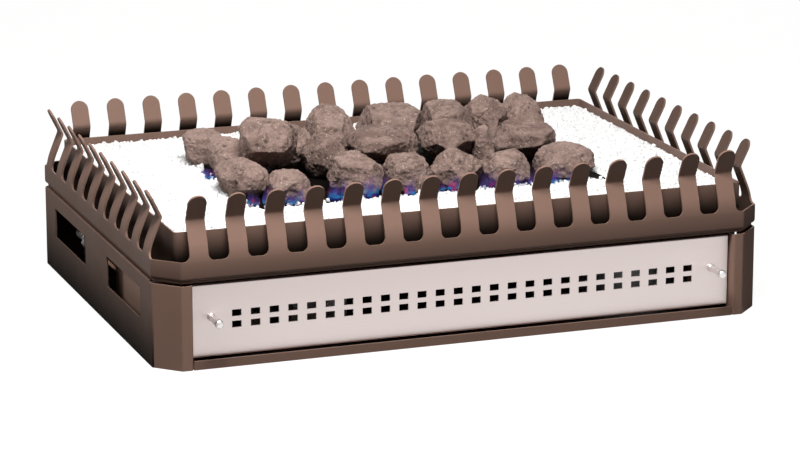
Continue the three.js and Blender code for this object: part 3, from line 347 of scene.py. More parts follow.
def noise(tree, place, scale, detail, roughness=0.5):
    """A soft random pattern of about scale lumps to a metre, broken up finer as detail grows."""
    inputs = {"Vector": place, "Scale": scale, "Detail": detail, "Roughness": roughness}
    return shader(tree, "TexNoise", inputs).outputs["Fac"]


def mixed(tree, share, first, second):
    """Two colours mixed: the first at share 0 and the second at 1."""
    first, second = ((*each, 1) if isinstance(each, tuple) else each for each in (first, second))
    mix = shader(tree, "Mix", {"Factor": share, "A": first, "B": second}, data_type="RGBA")
    return mix.outputs["Result"]


def bumped(tree, height, strength, depth, **under):
    """The slopes of a fine relief that is depth high."""
    inputs = {"Height": height, "Strength": strength, "Distance": depth, **under}
    return shader(tree, "Bump", inputs).outputs[0]


def finished(made, tree, inputs):
    """Closes a material with one surface that has these inputs."""
    surface = shader(tree, "BsdfPrincipled", inputs)
    shader(tree, "OutputMaterial", {"Surface": surface.outputs[0]})
    return made


def satin_paint(name, base, dark, roughness=0.42, specular=0.12, painted_shade=None, unshaded_middle=0.0):
    """Stoved satin paint: an almost even colour, a fine orange-peel skin and a slightly uneven sheen. Painted
    shade, if given, is an axis with the place where the paint is shaded black and the place where it is
    unshaded. It can stay unshaded within a distance left and right of the middle."""
    made, tree = new_material(name)
    place = shader(tree, "TexCoord").outputs["Object"]
    cloud = noise(tree, place, CLOUD_SCALE, 4, 0.6)
    colour = mixed(tree, cloud, dark, base)
    # Painted shade: the colour runs to near black along one axis, outside the unshaded middle.
    if painted_shade:
        axis, black_at, unshaded_at = painted_shade
        axes = shader(tree, "SeparateXYZ", {"Vector": place}).outputs
        unshaded = ramped(tree, axes[axis], black_at, unshaded_at, curve="SMOOTHSTEP")
        inside = worked(tree, "LESS_THAN", worked(tree, "ABSOLUTE", axes["X"]), unshaded_middle)
        colour = mixed(tree, worked(tree, "MAXIMUM", unshaded, inside), SHADE_BLACK, colour)
    inputs = {
        "Base Color": colour,
        "Roughness": ramped(tree, cloud, 0.3, 0.7, roughness + 0.05, roughness - 0.04),
        "Specular IOR Level": specular,
        "Specular Tint": WARM_SHEEN,
        "Normal": bumped(tree, noise(tree, place, PEEL_SCALE, 2), 0.12, PEEL_DEPTH),
    }
    return finished(made, tree, inputs)


# Painted shade: the side walls are painted darker towards their foot.
WALL_PAINTED_SHADE = ("Z", -0.008, 0.074)
WALL_FLAT = 0.2985
wall_paint = satin_paint("wall_paint", BROWN, BROWN_DARK, painted_shade=WALL_PAINTED_SHADE, unshaded_middle=WALL_FLAT)


def side_wall(name, side):
    """One side wall, from its rear corner forward and round the front one to the pillar's return."""
    corners = [
        (-HALF_WIDTH + REAR_CUT, HALF_DEPTH),
        (-HALF_WIDTH, HALF_DEPTH - REAR_CUT),
        (-HALF_WIDTH, -HALF_DEPTH + FRONT_CUT),
        (-HALF_WIDTH + FRONT_CUT, -HALF_DEPTH),
        (-PILLAR_EDGE, -HALF_DEPTH),
        (-PILLAR_EDGE, -HALF_DEPTH + PILLAR_RETURN),
    ]
    plan = rounded_line(corners, FOLD_RADIUS)
    profile = rounded_line([(0, 0), (0, CASING_HEIGHT), (TOP_FLANGE, CASING_HEIGHT)], CASING_SHEET)
    straight = (np.abs(plan[0][:, 0] + HALF_WIDTH) < SAME_PLACE).nonzero()[0]
    along_wall = lambda y: np.interp(-y, -plan[0][straight, 1], plan[2][straight])
    windows = [(along_wall(rear), along_wall(front)) for front, rear in WINDOW_ENDS]
    flange = (plan[2][straight[0]] + FLANGE_RELIEF, plan[2][straight[-1]] - FLANGE_RELIEF)
    fold = CASING_HEIGHT - CASING_SHEET

    def kept(u, s):
        there = (s < fold) | ((u > flange[0]) & (u < flange[1]))
        for start, end in windows:
            there = there & ~((u > start) & (u < end) & (s > WINDOW_FOOT) & (s < WINDOW_HEAD))
        return there

    columns = [SEAM, *itertools.chain(*windows), *flange]
    grid = sheet_grid(plan, profile, columns, [WINDOW_FOOT, WINDOW_HEAD, fold], kept)
    made = new_piece(name, *grid, wall_paint, merge=SAME_POINT)
    if side > 0:
        mirror_over(made)
    give_thickness(made, CASING_SHEET)
    return made


def mirror_over(piece):
    """Turns a left-hand surface into its right-hand twin, with its faces turned back outwards."""
    mesh = piece.data
    points = np.empty(len(mesh.vertices) * 3)
    mesh.vertices.foreach_get("co", points)
    points[::3] *= -1
    mesh.vertices.foreach_set("co", points)
    mesh.flip_normals()
    mesh.update()


for wall_name, wall_side in (("base_side_left", -1), ("base_side_right", 1)):
    wall = side_wall(wall_name + "_skin", wall_side)
    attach(wall, "basket")
    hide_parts(wall_name)


# Back plate, floor and control bay
# Plain folded plates of the same sheet: the back between the rear corners, the floor that the fire stands on
# with its sill, painted black behind the sill as painted shade, and a plate behind each front window that
# guides the panel's pins. That plate is a far paler brown than the casing: painted light, so that it looks
# lit in the shade behind the window.
# Painted light: the bay plates' brown is far paler than the casing's, to make up for the shade behind the
# windows.
BAY_LIT_BROWN = (0.62, 0.41, 0.325)
BAY_LIT_BROWN_DARK = (0.53, 0.345, 0.27)
SILL_BROWN = (0.16, 0.098, 0.076)
SILL_BROWN_DARK = (0.138, 0.084, 0.064)
# Painted shade: the floor is painted black behind the sill, inside the casing, where the slots show only
# shade.
FLOOR_PAINTED_SHADE = ("Y", -0.185, -0.196)
bay_lit_paint = satin_paint("bay_lit_paint", BAY_LIT_BROWN, BAY_LIT_BROWN_DARK)
brown_paint = satin_paint("brown_paint", BROWN, BROWN_DARK)


def dress(node, material):
    """A model piece keeps its shape and gets its finish."""
    nodes[node].data.materials.clear()
    nodes[node].data.materials.append(material)


dress("base_floor", satin_paint("floor_paint", SILL_BROWN, SILL_BROWN_DARK, painted_shade=FLOOR_PAINTED_SHADE))
for plain in ("base_back", "deck_plate"):
    dress(plain, brown_paint)
for plain in ("bay_plate_left", "bay_plate_right"):
    dress(plain, bay_lit_paint)


# Front rail
# A folded angle behind the pillars that ties them together and carries the front of the deck. It is black.
RAIL_Y = -0.1967
RAIL_HALF = 0.272
RAIL_FOOT = 0.062
RAIL_FLANGE = 0.014
BLACK = (0.0035, 0.003, 0.0028)
BLACK_DARK = (0.002, 0.0018, 0.0016)
black_paint = satin_paint("black_paint", BLACK, BLACK_DARK, 0.7, specular=0.06)
rail_grid = sheet_grid(
    rounded_line([(-RAIL_HALF, RAIL_Y), (RAIL_HALF, RAIL_Y)], FOLD_RADIUS),
    rounded_line([(0, RAIL_FOOT), (0, CASING_HEIGHT), (RAIL_FLANGE, CASING_HEIGHT)], CASING_SHEET),
    [0],
    [0],
)
rail = new_piece("front_rail_skin", *rail_grid, black_paint)
give_thickness(rail, CASING_SHEET)
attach(rail, "basket")
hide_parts("front_rail")


# Granule tray
# An open box of thin sheet that stands on the deck, painted like the casing. Its rim shows all round above
# the fret's band and between the fingers. Outside it is painted darker low down as painted shade, and
# inside it is a darker mottled brown.
TRAY_HALF = (0.280, 0.197)
TRAY_FOOT = 0.083
TRAY_RIM = 0.1262
TRAY_CORNER = 0.004
TRAY_FLOOR_SHARES = (0.02, 0.35, 0.7)
# Painted shade: the tray's outer wall is painted darker towards its foot.
TRAY_PAINTED_SHADE = ("Z", 0.098, 0.134)
# The tray's inside is a mottle of the casing brown and a darker brown.
TRAY_INSIDE_BROWN = (0.095, 0.062, 0.051)
tray_paint = satin_paint("tray_paint", BROWN, BROWN_DARK, painted_shade=TRAY_PAINTED_SHADE)
tray_inside_paint = satin_paint("tray_inside_paint", TRAY_INSIDE_BROWN, BROWN)


def ring_of(half_x, half_y, radius, steps=6):
    """A closed rectangle with round corners, from the middle of its front edge round to the right."""
    turns = [(half_x, -half_y), (half_x, half_y), (-half_x, half_y), (-half_x, -half_y)]
    return rounded_line([(0, -half_y), *turns, (0, -half_y)], radius, steps)[0][:-1]


def build_tray():
    """The wall is the ring at two heights, and the floor the same ring drawn in towards the middle."""
    ring = ring_of(*TRAY_HALF, TRAY_CORNER)
    levels = [(share, TRAY_FOOT) for share in TRAY_FLOOR_SHARES]
    levels += [(1, TRAY_FOOT), (1, (TRAY_FOOT + TRAY_RIM) / 2), (1, TRAY_RIM)]
    points = np.concatenate([np.column_stack([ring * share, np.full(len(ring), z)]) for share, z in levels])
    faces = grid_faces(len(levels), len(ring), closed=True)
    made = new_piece("burner_tray_skin", points, faces, tray_paint)
    give_thickness(made, CASING_SHEET, inner=tray_inside_paint)
    return made


tray = build_tray()
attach(tray, "basket")
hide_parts("burner_tray")


# Burner
# A pan of black-painted steel turned upside down on the tray's floor, with rows of gas slots on top. It
# shows only as the dark between the coals and along their feet.
dress("burner_cover", black_paint)


# Granules
# Loose, coarse white grains of ceramic that fill the tray round the burner and spill over its edge a little.
# They are poured in by hand: a lumpy bed with broken grains all over it, each a twelve-cornered crumb.
BED_HALF = (0.2782, 0.1952)
BED_LEVEL = 0.1182
BED_STEP = 0.003
BED_WAVE = 0.0007
BURNER_LOW = (-0.178, -0.110)
BURNER_HIGH = (0.178, 0.090)
BED_SINK = 0.006
BED_SKIN = 0.001
SPILL = 0.0012
SPILL_WAVE = 0.0035
SPILL_SIZE = 0.009
SPILL_RISE = 0.0018
GRAIN_SPACING = 0.0037
GRAIN_SMALL = 0.0016
GRAIN_LARGE = 0.0028
GRAIN_KINDS = 16
GRAIN_PARTING = -0.04
GRAIN_SEEDS = (11, 12)
GRANULE_WHITE = (0.70, 0.698, 0.694)
GRANULE_GREY = (0.63, 0.625, 0.617)
GRANULE_CLOUDS = 420
GRANULE_SKIN = 1600
GRANULE_ROUGH = 0.0004
WAVE_SIZE = 0.012
GRAIN_REACH = (0.7, 1.15)
GRAIN_LIE = (-0.35, 0.45)
WALL_GAP = 0.6


def hashed(cells, seed):
    """A random number from 0 to 1 for each integer cell: its three coordinates are mixed by large odd
    factors and folded on themselves."""
    folded = cells[..., 0].astype(np.uint64) * np.uint64(73856093)
    folded ^= cells[..., 1].astype(np.uint64) * np.uint64(19349663)
    folded ^= cells[..., 2].astype(np.uint64) * np.uint64(83492791)
    folded ^= np.uint64(seed * 2654435761 % 2**32)
    folded = (folded ^ (folded >> np.uint64(13))) * np.uint64(1274126177)
    folded = (folded ^ (folded >> np.uint64(16))) * np.uint64(2246822519)
    return ((folded >> np.uint64(11)) & np.uint64(0xFFFFFF)).astype(float) / 0xFFFFFF


def clouds(points, size, seed):
    """A smooth random field from about -1 to 1 whose lumps are size across: every corner of a grid of
    cubes has a random slope, and the slopes' heights blend by the curve 6t^5 - 15t^4 + 10t^3."""
    place = np.asarray(points) / size
    cell = np.floor(place).astype(np.int64)
    inside = place - cell
    blend = inside**3 * (inside * (inside * 6 - 15) + 10)
    total = np.zeros(len(place))
    for corner in itertools.product((0, 1), repeat=3):
        corner = np.array(corner)
        slope = np.stack([hashed(cell + corner, seed + 7 * k) * 2 - 1 for k in range(3)], -1)
        weight = np.where(corner, blend, 1 - blend).prod(-1)
        total += weight * ((inside - corner) * slope).sum(-1)
    return total * 1.7


def bed_height(x, y):
    """The granules' level at each point, and where the burner is bare: that is where the distance inside
    its edge is more than a spill that wavers at random."""
    across = np.column_stack([x, y, np.zeros_like(x)])
    inside = np.minimum.reduce([x - BURNER_LOW[0], BURNER_HIGH[0] - x, y - BURNER_LOW[1], BURNER_HIGH[1] - y])
    bare = inside > SPILL + SPILL_WAVE * clouds(across, SPILL_SIZE, 5)
    lift = np.where(bare, -BED_SINK, np.where(inside > 0, SPILL_RISE, 0))
    return BED_LEVEL + BED_WAVE * clouds(across, WAVE_SIZE, 3) + lift, bare


def granule_finish():
    """White with a faint grey in patches, dull and rough at the skin."""
    made, tree = new_material("granules")
    place = shader(tree, "TexCoord").outputs["Object"]
    tone = ramped(tree, noise(tree, place, GRANULE_CLOUDS, 3, 0.7), 0.32, 0.5)
    inputs = {
        "Base Color": mixed(tree, tone, GRANULE_GREY, GRANULE_WHITE),
        "Roughness": 0.85,
        "Specular IOR Level": 0.3,
        "Normal": bumped(tree, noise(tree, place, GRANULE_SKIN, 2), 0.4, GRANULE_ROUGH),
    }
    return finished(made, tree, inputs)


def granule_base(material):
    """The bed's surface on a square grid, closed below by a thin second skin."""
    counts = [round(2 * half / BED_STEP) + 1 for half in BED_HALF]
    x, y = np.meshgrid(*(np.linspace(-half, half, count) for half, count in zip(BED_HALF, counts)))
    z, bare = bed_height(x.ravel(), y.ravel())
    points = np.column_stack([x.ravel(), y.ravel(), z])
    faces = grid_faces(counts[1], counts[0])
    keep = ~bare[faces].all(1)
    made = new_piece("granule_bed_base", points, faces[keep], material, merge=1e-7)
    skin = made.modifiers.new("skin", "SOLIDIFY")
    skin.thickness = BED_SKIN
    skin.offset = -1
    return made


def grain_shapes(random):
    """Twelve-cornered crumbs: an icosahedron whose corners are pushed in and out at random."""
    work = bmesh.new()
    bmesh.ops.create_icosphere(work, subdivisions=1, radius=1)
    corners = np.array([v.co[:] for v in work.verts])
    faces = np.array([[v.index for v in f.verts] for f in work.faces])
    work.free()
    return corners[None] * random.uniform(*GRAIN_REACH, (GRAIN_KINDS, len(corners), 1)), faces


def scatter_grains(name, low_x, high_x, seed, material):
    """One grain for each cell of a jittered grid, turned by a random quaternion and half sunk in."""
    random = np.random.default_rng(seed)
    rows = np.arange(-BED_HALF[1], BED_HALF[1], GRAIN_SPACING)
    grid = np.meshgrid(np.arange(low_x, high_x, GRAIN_SPACING), rows)
    x, y = (axis.ravel() + random.uniform(-0.5, 0.5, axis.size) * GRAIN_SPACING for axis in grid)
    size = random.uniform(GRAIN_SMALL, GRAIN_LARGE, len(x))
    limit = [half - WALL_GAP * size for half in BED_HALF]
    x, y = np.clip(x, -limit[0], limit[0]), np.clip(y, -limit[1], limit[1])
    z, bare = bed_height(x, y)
    z = z + size * random.uniform(*GRAIN_LIE, len(x))
    x, y, z, size = (values[~bare] for values in (x, y, z, size))
    q = random.normal(size=(len(x), 4))
    w, a, b, c = (q / np.linalg.norm(q, axis=1)[:, None]).T
    turn = np.array(
        [
            [1 - 2 * (b * b + c * c), 2 * (a * b - c * w), 2 * (a * c + b * w)],
            [2 * (a * b + c * w), 1 - 2 * (a * a + c * c), 2 * (b * c - a * w)],
            [2 * (a * c - b * w), 2 * (b * c + a * w), 1 - 2 * (a * a + b * b)],
        ]
    ).transpose(2, 0, 1)
    kinds, crumb = grain_shapes(random)
    chosen = kinds[random.integers(0, GRAIN_KINDS, len(x))] * size[:, None, None]
    points = np.einsum("gij,gkj->gki", turn, chosen) + np.column_stack([x, y, z])[:, None]
    faces = crumb[None] + (np.arange(len(x)) * len(kinds[0]))[:, None, None]
    made = new_piece(name, points, faces.reshape(-1, 3), material)
    made.data.shade_flat()
    return made


granule_white = granule_finish()
bed = granule_base(granule_white)
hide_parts("granule_bed")
for piece in (
    bed,
    scatter_grains("granules_left", -BED_HALF[0], GRAIN_PARTING, GRAIN_SEEDS[0], granule_white),
    scatter_grains("granules_right", GRAIN_PARTING, BED_HALF[0], GRAIN_SEEDS[1], granule_white),
):
    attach(piece, "basket")


# Coals
# Twenty-one ceramic lumps fired in a brown-grey, heaped by hand in three rows on the burner. They are
# rough like broken coke: blunt flat faces, pits, a few deep cracks and a dusting of pale specks.
COALS = ["coal_%02d" % k for k in range(1, 22)]
COAL_SIDE = 46
COAL_BLUNTNESS = 130
COAL_FACETS = 13
FACET_DEPTHS = (0.74, 0.9)
ROUND_DEPTHS = (0.96, 0.99)
ROUND_COALS = ("coal_01", "coal_02")
FRONT_WAY = -110
FRONT_LEAN = 14.5
LUMP_SIZES = ((0.019, 0.0010), (0.009, 0.0008), (0.0046, 0.0008), (0.0024, 0.0007))
PIT_SPACING = 0.0062
PIT_RADIUS = 0.0019
PIT_DEPTH = 0.0013
PIT_SHARE = 0.3
CRACK_SPACING = 0.031
CRACK_WIDTH = 0.0011
CRACK_DEPTH = 0.0014
CRACK_WARP = 0.006
COAL_PALE = (0.268, 0.184, 0.155)
COAL_BROWN = (0.14, 0.091, 0.075)
# The near black that pits, cracks and pores are painted as shade.
COAL_SHADE = (0.04, 0.026, 0.021)
COAL_DUST = (0.56, 0.455, 0.41)
COAL_CLOUDS = 60
COAL_MOTTLE = 380
SPECK_SCALE = 520
PORE_SCALE = 520
PORE_SHADE = 0.35
PORE_DEPTH = 0.0005
GRIT_SCALE = 700
GRIT_DEPTH = 0.0014
COAL_TONES = {
    "coal_01": 0.75,
    "coal_02": 1.3,
    "coal_08": 0.3,
    "coal_10": 0.1,
    "coal_14": 0.3,
    "coal_20": 0.25,
}
MIDDLE_TONE = 0.5
TONE_SPREAD = 0.1
TONE_STEP = 12.9
HOLLOW_SHADE = 0.85

# The broken faces that show on each coal: how far each is turned to the right of the view, how far it leans
# up, both in degrees, and its share of the coal's reach that way.
BROKEN_FACES = {
    "coal_01": [(0, 84, 0.7), (-80, -5, 0.78), (-10, 0, 0.66), (60, 10, 0.85)],
    "coal_02": [(-30, 10, 0.94)],
    "coal_03": [(-50, 35, 0.84), (30, 50, 0.84), (0, 0, 0.84)],
    "coal_04": [(0, 18, 0.74), (0, -50, 0.68), (-45, 55, 0.76), (35, 60, 0.82), (75, 0, 0.8)],
    "coal_05": [(0, 70, 0.86), (20, 10, 0.84), (70, 20, 0.84)],
    "coal_06": [(0, 30, 0.85), (60, 40, 0.8)],
    "coal_07": [(35, 68, 0.66), (70, 40, 0.74), (0, 25, 0.8)],
    "coal_08": [(-45, 15, 0.78), (25, 25, 0.76), (10, -58, 0.66), (-60, 50, 0.76)],
    "coal_09": [(0, 85, 0.6), (80, -5, 0.72), (0, 25, 0.72), (-75, 25, 0.76), (-50, 60, 0.8)],
    "coal_10": [(0, 80, 0.84), (0, 20, 0.8), (0, -55, 0.74), (-65, 35, 0.86), (65, 40, 0.84)],
    "coal_11": [(10, 78, 0.7), (0, 0, 0.76), (-70, 10, 0.78), (75, 15, 0.8)],
    "coal_12": [(-40, 60, 0.86), (50, 35, 0.9), (0, 0, 0.86), (-60, 10, 0.88)],
    "coal_13": [(0, 85, 0.62), (0, 10, 0.76), (-75, 10, 0.74), (75, 20, 0.78)],
    "coal_14": [(-40, -35, 0.74), (45, -35, 0.74), (0, 25, 0.78), (-60, 30, 0.82), (60, 40, 0.8)],
    "coal_15": [(-50, 50, 0.75), (55, 50, 0.78), (0, 20, 0.84)],
    "coal_16": [(0, 5, 0.74), (85, 0, 0.85), (0, 85, 0.86), (-85, 0, 0.85)],
    "coal_17": [(-50, 45, 0.68), (45, 45, 0.74), (0, 15, 0.8)],
    "coal_18": [(0, 70, 0.8), (0, 10, 0.82), (70, 15, 0.85), (-70, 20, 0.85)],
    "coal_19": [(-60, 45, 0.66), (55, 50, 0.72), (0, 25, 0.76)],
    "coal_20": [(0, 82, 0.68), (-20, 10, 0.76), (70, 5, 0.82), (0, -55, 0.64)],
    "coal_21": [(0, 75, 0.84), (-50, 40, 0.84), (40, 30, 0.86), (0, 5, 0.86)],
}


def ball_directions(side):
    """Unit vectors over a ball in six square patches, each (1, tan a, tan b) turned to its face of a
    cube, with a and b from -45 to 45 degrees, and their quads."""
    angle = np.tan(np.linspace(-math.pi / 4, math.pi / 4, side + 1))
    a, b = np.meshgrid(angle, angle)
    patch = np.stack([np.ones_like(a), a, b], -1).reshape(-1, 3)
    patch /= np.linalg.norm(patch, axis=1)[:, None]
    x, y, z = patch.T
    patches = [(x, y, z), (-y, x, z), (-x, -y, z), (y, -x, z), (-z, y, x), (z, y, -x)]
    points = np.concatenate([np.stack(each, -1) for each in patches])
    quads = grid_faces(side + 1, side + 1)
    faces = np.concatenate([quads + k * (side + 1) ** 2 for k in range(6)])
    return points, faces


def turned_axes(turn, lean):
    """Three unit axes in rows: to the right, up and out, where out points at an angle round the upright and
    leans up by another, both in degrees."""
    turn, lean = math.radians(turn), math.radians(lean)
    out = np.array([math.cos(turn) * math.cos(lean), math.sin(turn) * math.cos(lean), math.sin(lean)])
    right = np.array([-math.sin(turn), math.cos(turn), 0])
    return np.stack([right, np.cross(out, right), out])


FRONT_AXES = turned_axes(FRONT_WAY, FRONT_LEAN)


def hull_planes(name, seed):
    """The model coal's outline as flat faces: their unit normals and distances from its middle, each the
    farthest corner along the normal. Broad broken faces are added at a share of that distance, some at
    random and chosen ones that show. Returns the middle, the height above it, the lowest and highest reach
    along the front's axes, the normals and the distances."""
    corners = np.empty(len(nodes[name].data.vertices) * 3)
    nodes[name].data.vertices.foreach_get("co", corners)
    corners = np.unique(np.round(corners.reshape(-1, 3), 6), axis=0)
    middle = (corners.min(0) + corners.max(0)) / 2
    corners -= middle
    work = bmesh.new()
    for corner in corners:
        work.verts.new(corner)
    bmesh.ops.convex_hull(work, input=work.verts)
    work.faces.ensure_lookup_table()
    normals = np.array([f.normal[:] for f in work.faces])
    outward = np.sign([f.normal.dot(f.verts[0].co) for f in work.faces])
    work.free()
    random = np.random.default_rng(seed)
    broken = random.normal(size=(COAL_FACETS, 3))
    broken /= np.linalg.norm(broken, axis=1)[:, None]
    depths = ROUND_DEPTHS if name in ROUND_COALS else FACET_DEPTHS
    shown = [turned_axes(turn + FRONT_WAY, lean)[2] for turn, lean, _ in BROKEN_FACES[name]]
    shown_shares = [share for _, _, share in BROKEN_FACES[name]]
    shares = np.concatenate([np.ones(len(normals)), random.uniform(*depths, COAL_FACETS), shown_shares])
    normals = np.concatenate([normals * outward[:, None], broken, shown])
    distances = (corners @ normals.T).max(0) * shares
    seen = corners @ FRONT_AXES.T
    return middle, np.ptp(corners[:, 2]) / 2, seen.min(0), seen.max(0), normals, distances


def nearest_two(points, spacing, seed):
    """Distances to the two nearest of one random point per cube of that spacing, and the nearest
    one's own random number."""
    place = points / spacing
    cell = np.floor(place).astype(np.int64)
    first = np.full(len(points), 9.0)
    second = first.copy()
    label = np.zeros(len(points))
    for shift in itertools.product((-1, 0, 1), repeat=3):
        other = cell + np.array(shift)
        spot = other + np.stack([hashed(other, seed + k) for k in range(3)], -1)
        far = np.linalg.norm(spot - place, axis=1)
        closer = far < first
        second = np.where(closer, first, np.minimum(second, far))
        label = np.where(closer, hashed(other, seed + 5), label)
        first = np.where(closer, far, first)
    return first * spacing, second * spacing, label


def coal_surface(name, seed):
    """A coal's points: along each direction d the blunted outline lies at the inverse power mean of
    (normal . d) / distance over its faces. Clouds of four sizes, round pits and a few cracks are taken
    off, and the stone is drawn out again to the model coal's width, height and depth as seen from the
    front. Returns the points, the faces, how deep each point lies, and how hollow it is."""
    ways, faces = ball_directions(COAL_SIDE)
    middle, top, low, high, normals, distances = hull_planes(name, seed)
    share = np.maximum(ways @ normals.T, 0) / distances
    nearest = share.max(1)
    reach = ((share / nearest[:, None]) ** COAL_BLUNTNESS).sum(1) ** (-1 / COAL_BLUNTNESS) / nearest
    place = ways * reach[:, None] + middle
    depth = np.zeros(len(place))
    for k, (size, height) in enumerate(LUMP_SIZES):
        depth -= height * clouds(place, size, seed * 31 + k)
    near, _, label = nearest_two(place, PIT_SPACING, seed * 17)
    pit = np.clip(1 - (near / (PIT_RADIUS * (0.5 + label / PIT_SHARE))) ** 2, 0, 1) * (label < PIT_SHARE)
    warp = np.stack([clouds(place, 2 * CRACK_WARP, seed + 50 + k) for k in range(3)], -1)
    near, second, label = nearest_two(place + CRACK_WARP * warp, CRACK_SPACING, seed * 13)
    open_here = np.clip(clouds(place, CRACK_SPACING, seed + 90) * 4 - 1.5, 0, 1)
    crack = np.clip(1 - (second - near) / CRACK_WIDTH, 0, 1) * open_here
    hollow = PIT_DEPTH * pit + CRACK_DEPTH * crack
    seen = (ways * (reach - depth - hollow)[:, None]) @ FRONT_AXES.T
    seen = (seen - (seen.min(0) + seen.max(0)) / 2) * (high - low) / np.ptp(seen, axis=0)
    points = (seen + (low + high) / 2) @ FRONT_AXES
    points[:, 2] *= np.where(points[:, 2] > 0, min(top / points[:, 2].max(), 1), 1)
    return points + middle, faces, depth, hollow


def coal_finish():
    """Brown-grey, paler where it stands proud and on dusty specks, and painted near black in its pits, cracks
    and pores as painted shade. The attribute "shade_tone_proud" holds each point's painted shade in its
    hollows, its coal's tone and its proudness."""
    made, tree = new_material("coal_ceramic")
    place = shader(tree, "TexCoord").outputs["Object"]
    marks = shader(tree, "Attribute", attribute_name="shade_tone_proud").outputs["Color"]
    hollow, tone, proud = list(shader(tree, "SeparateColor", {"Color": marks}).outputs)[:3]
    level = worked(tree, "ADD", noise(tree, place, COAL_CLOUDS, 6, 0.65), tone)
    level = worked(tree, "ADD", level, proud)
    level = worked(tree, "ADD", level, noise(tree, place, COAL_MOTTLE, 4, 0.75))
    body = mixed(tree, ramped(tree, level, 1.5, 2.4), COAL_BROWN, COAL_PALE)
    speck = ramped(tree, noise(tree, place, SPECK_SCALE, 2), 0.64, 0.70, end=0.7)
    dusted = mixed(tree, speck, body, COAL_DUST)
    # Painted shade: pores, pits and cracks are painted towards near black.
    pores = shader(tree, "TexVoronoi", {"Vector": place, "Scale": PORE_SCALE, "Randomness": 1})
    pore = ramped(tree, pores.outputs["Distance"], 0.12, 0.34)
    pore_shade = worked(tree, "MULTIPLY", worked(tree, "SUBTRACT", 1.0, pore), PORE_SHADE)
    coarse = bumped(tree, noise(tree, place, GRIT_SCALE, 5, 0.7), 1.0, GRIT_DEPTH)
    inputs = {
        "Base Color": mixed(tree, worked(tree, "MAXIMUM", pore_shade, hollow), dusted, COAL_SHADE),
        "Roughness": 0.9,
        "Specular IOR Level": 0.25,
        "Normal": bumped(tree, pore, 0.4, PORE_DEPTH, Normal=coarse),
    }
    return finished(made, tree, inputs)


coal_clay = coal_finish()
for seed, name in enumerate(COALS, 1):
    points, faces, depth, hollow = coal_surface(name, seed)
    coal = new_piece(name + "_stone", points, faces, coal_clay)
    tone = COAL_TONES.get(name, MIDDLE_TONE + TONE_SPREAD * math.sin(seed * TONE_STEP))
    proud = np.clip(0.5 + (depth.mean() - depth) / (4 * depth.std()), 0, 1)
    # Painted shade: how hollow each point is sets how near black it is painted.
    hollow = np.clip(hollow / PIT_DEPTH, 0, 1) * HOLLOW_SHADE
    marks = np.column_stack([hollow, np.full(len(hollow), tone), proud, np.ones(len(hollow))])
    shade_tone_proud = coal.data.attributes.new("shade_tone_proud", "FLOAT_COLOR", "POINT")
    shade_tone_proud.data.foreach_set("color", marks.ravel())
    merge_close(coal.data, SAME_POINT)
    coal.data.shade_smooth()
    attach(coal, "basket")
    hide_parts(name)


# Flames
# Small gas flames that lick up between the coals' feet and the granules: blue at the root, then violet, then
# a haze. Each patch is a few thin flat tongues.
FLAME_FOOT = 0.1192

# Each patch: its place across and its depth, its width, its height share and the share of blue root missing.
FLAME_PATCHES = (
    (-0.181, 0.034, 0.014, 0.32, 0.1),
    (-0.181, 0.014, 0.010, 0.42, 0.1),
    (-0.168, -0.111, 0.024, 1.1, 0.0),
    (-0.135, -0.113, 0.022, 0.9, 0.0),
    (-0.0946, -0.113, 0.022, 1.2, 0.0),
    (-0.055, -0.114, 0.022, 1.2, 0.0),
    (-0.0188, -0.114, 0.020, 0.8, 0.1),
    (0.0205, -0.113, 0.024, 0.8, 0.0),
    (0.056, -0.112, 0.018, 1.0, 0.34),
    (0.093, -0.113, 0.020, 1.1, 0.34),
    (0.128, -0.112, 0.020, 0.9, 0.2),
)
TONGUES = 7
TONGUE_WIDTH = 0.0085
TONGUE_THICK = 0.003
TONGUE_HEIGHT = 0.023
TONGUE_SIZES = (0.6, 1.3)
TONGUE_HEIGHTS = (0.55, 1.3)
TONGUE_DEPTHS = (-0.003, 0.004)
FLAME_FADE = 2.3
FLAME_SWAY = 0.0022
FLAME_RINGS = 16
FLAME_SIDES = 14
FLAME_SEED = 7
ROSY_SCALE = 90
WISP_SCALE = 160
FLAME_ROSE = (0.55, 0.03, 0.16)
FLAME_COLOURS = (
    (0.0, (0.008, 0.01, 0.06, 1)),
    (0.14, (0.015, 0.02, 0.15, 1)),
    (0.22, (0.03, 0.23, 0.52, 1)),
    (0.33, (0.05, 0.05, 0.27, 1)),
    (0.62, (0.16, 0.09, 0.30, 1)),
    (1.0, (0.33, 0.21, 0.40, 1)),
)


def flame_tongue(place, width, thick, height, sway):
    """A closed flat tongue: the ring at height share h is sqrt(1.6 h (1 - h)) + 0.35 (1 - h) times as wide
    and as thick as the tongue, and drifts sideways by sway * sin(5 h). Returns its points, its faces and
    each point's height share."""
    h = np.linspace(0, 1, FLAME_RINGS)[:, None]
    t = np.linspace(0, 2 * math.pi, FLAME_SIDES, endpoint=False)[None]
    spread = np.sqrt(1.6 * h * (1 - h)) + 0.35 * (1 - h)
    spread[0] = spread[-1] = 0
    x = place[0] + width / 2 * spread * np.cos(t) + sway * np.sin(5 * h)
    y = place[1] + thick / 2 * spread * np.sin(t)
    z = place[2] + height * h + np.zeros_like(t)
    points = np.stack([x, y, z], -1).reshape(-1, 3)
    return points, grid_faces(FLAME_RINGS, FLAME_SIDES, closed=True), np.repeat(h.ravel(), FLAME_SIDES)


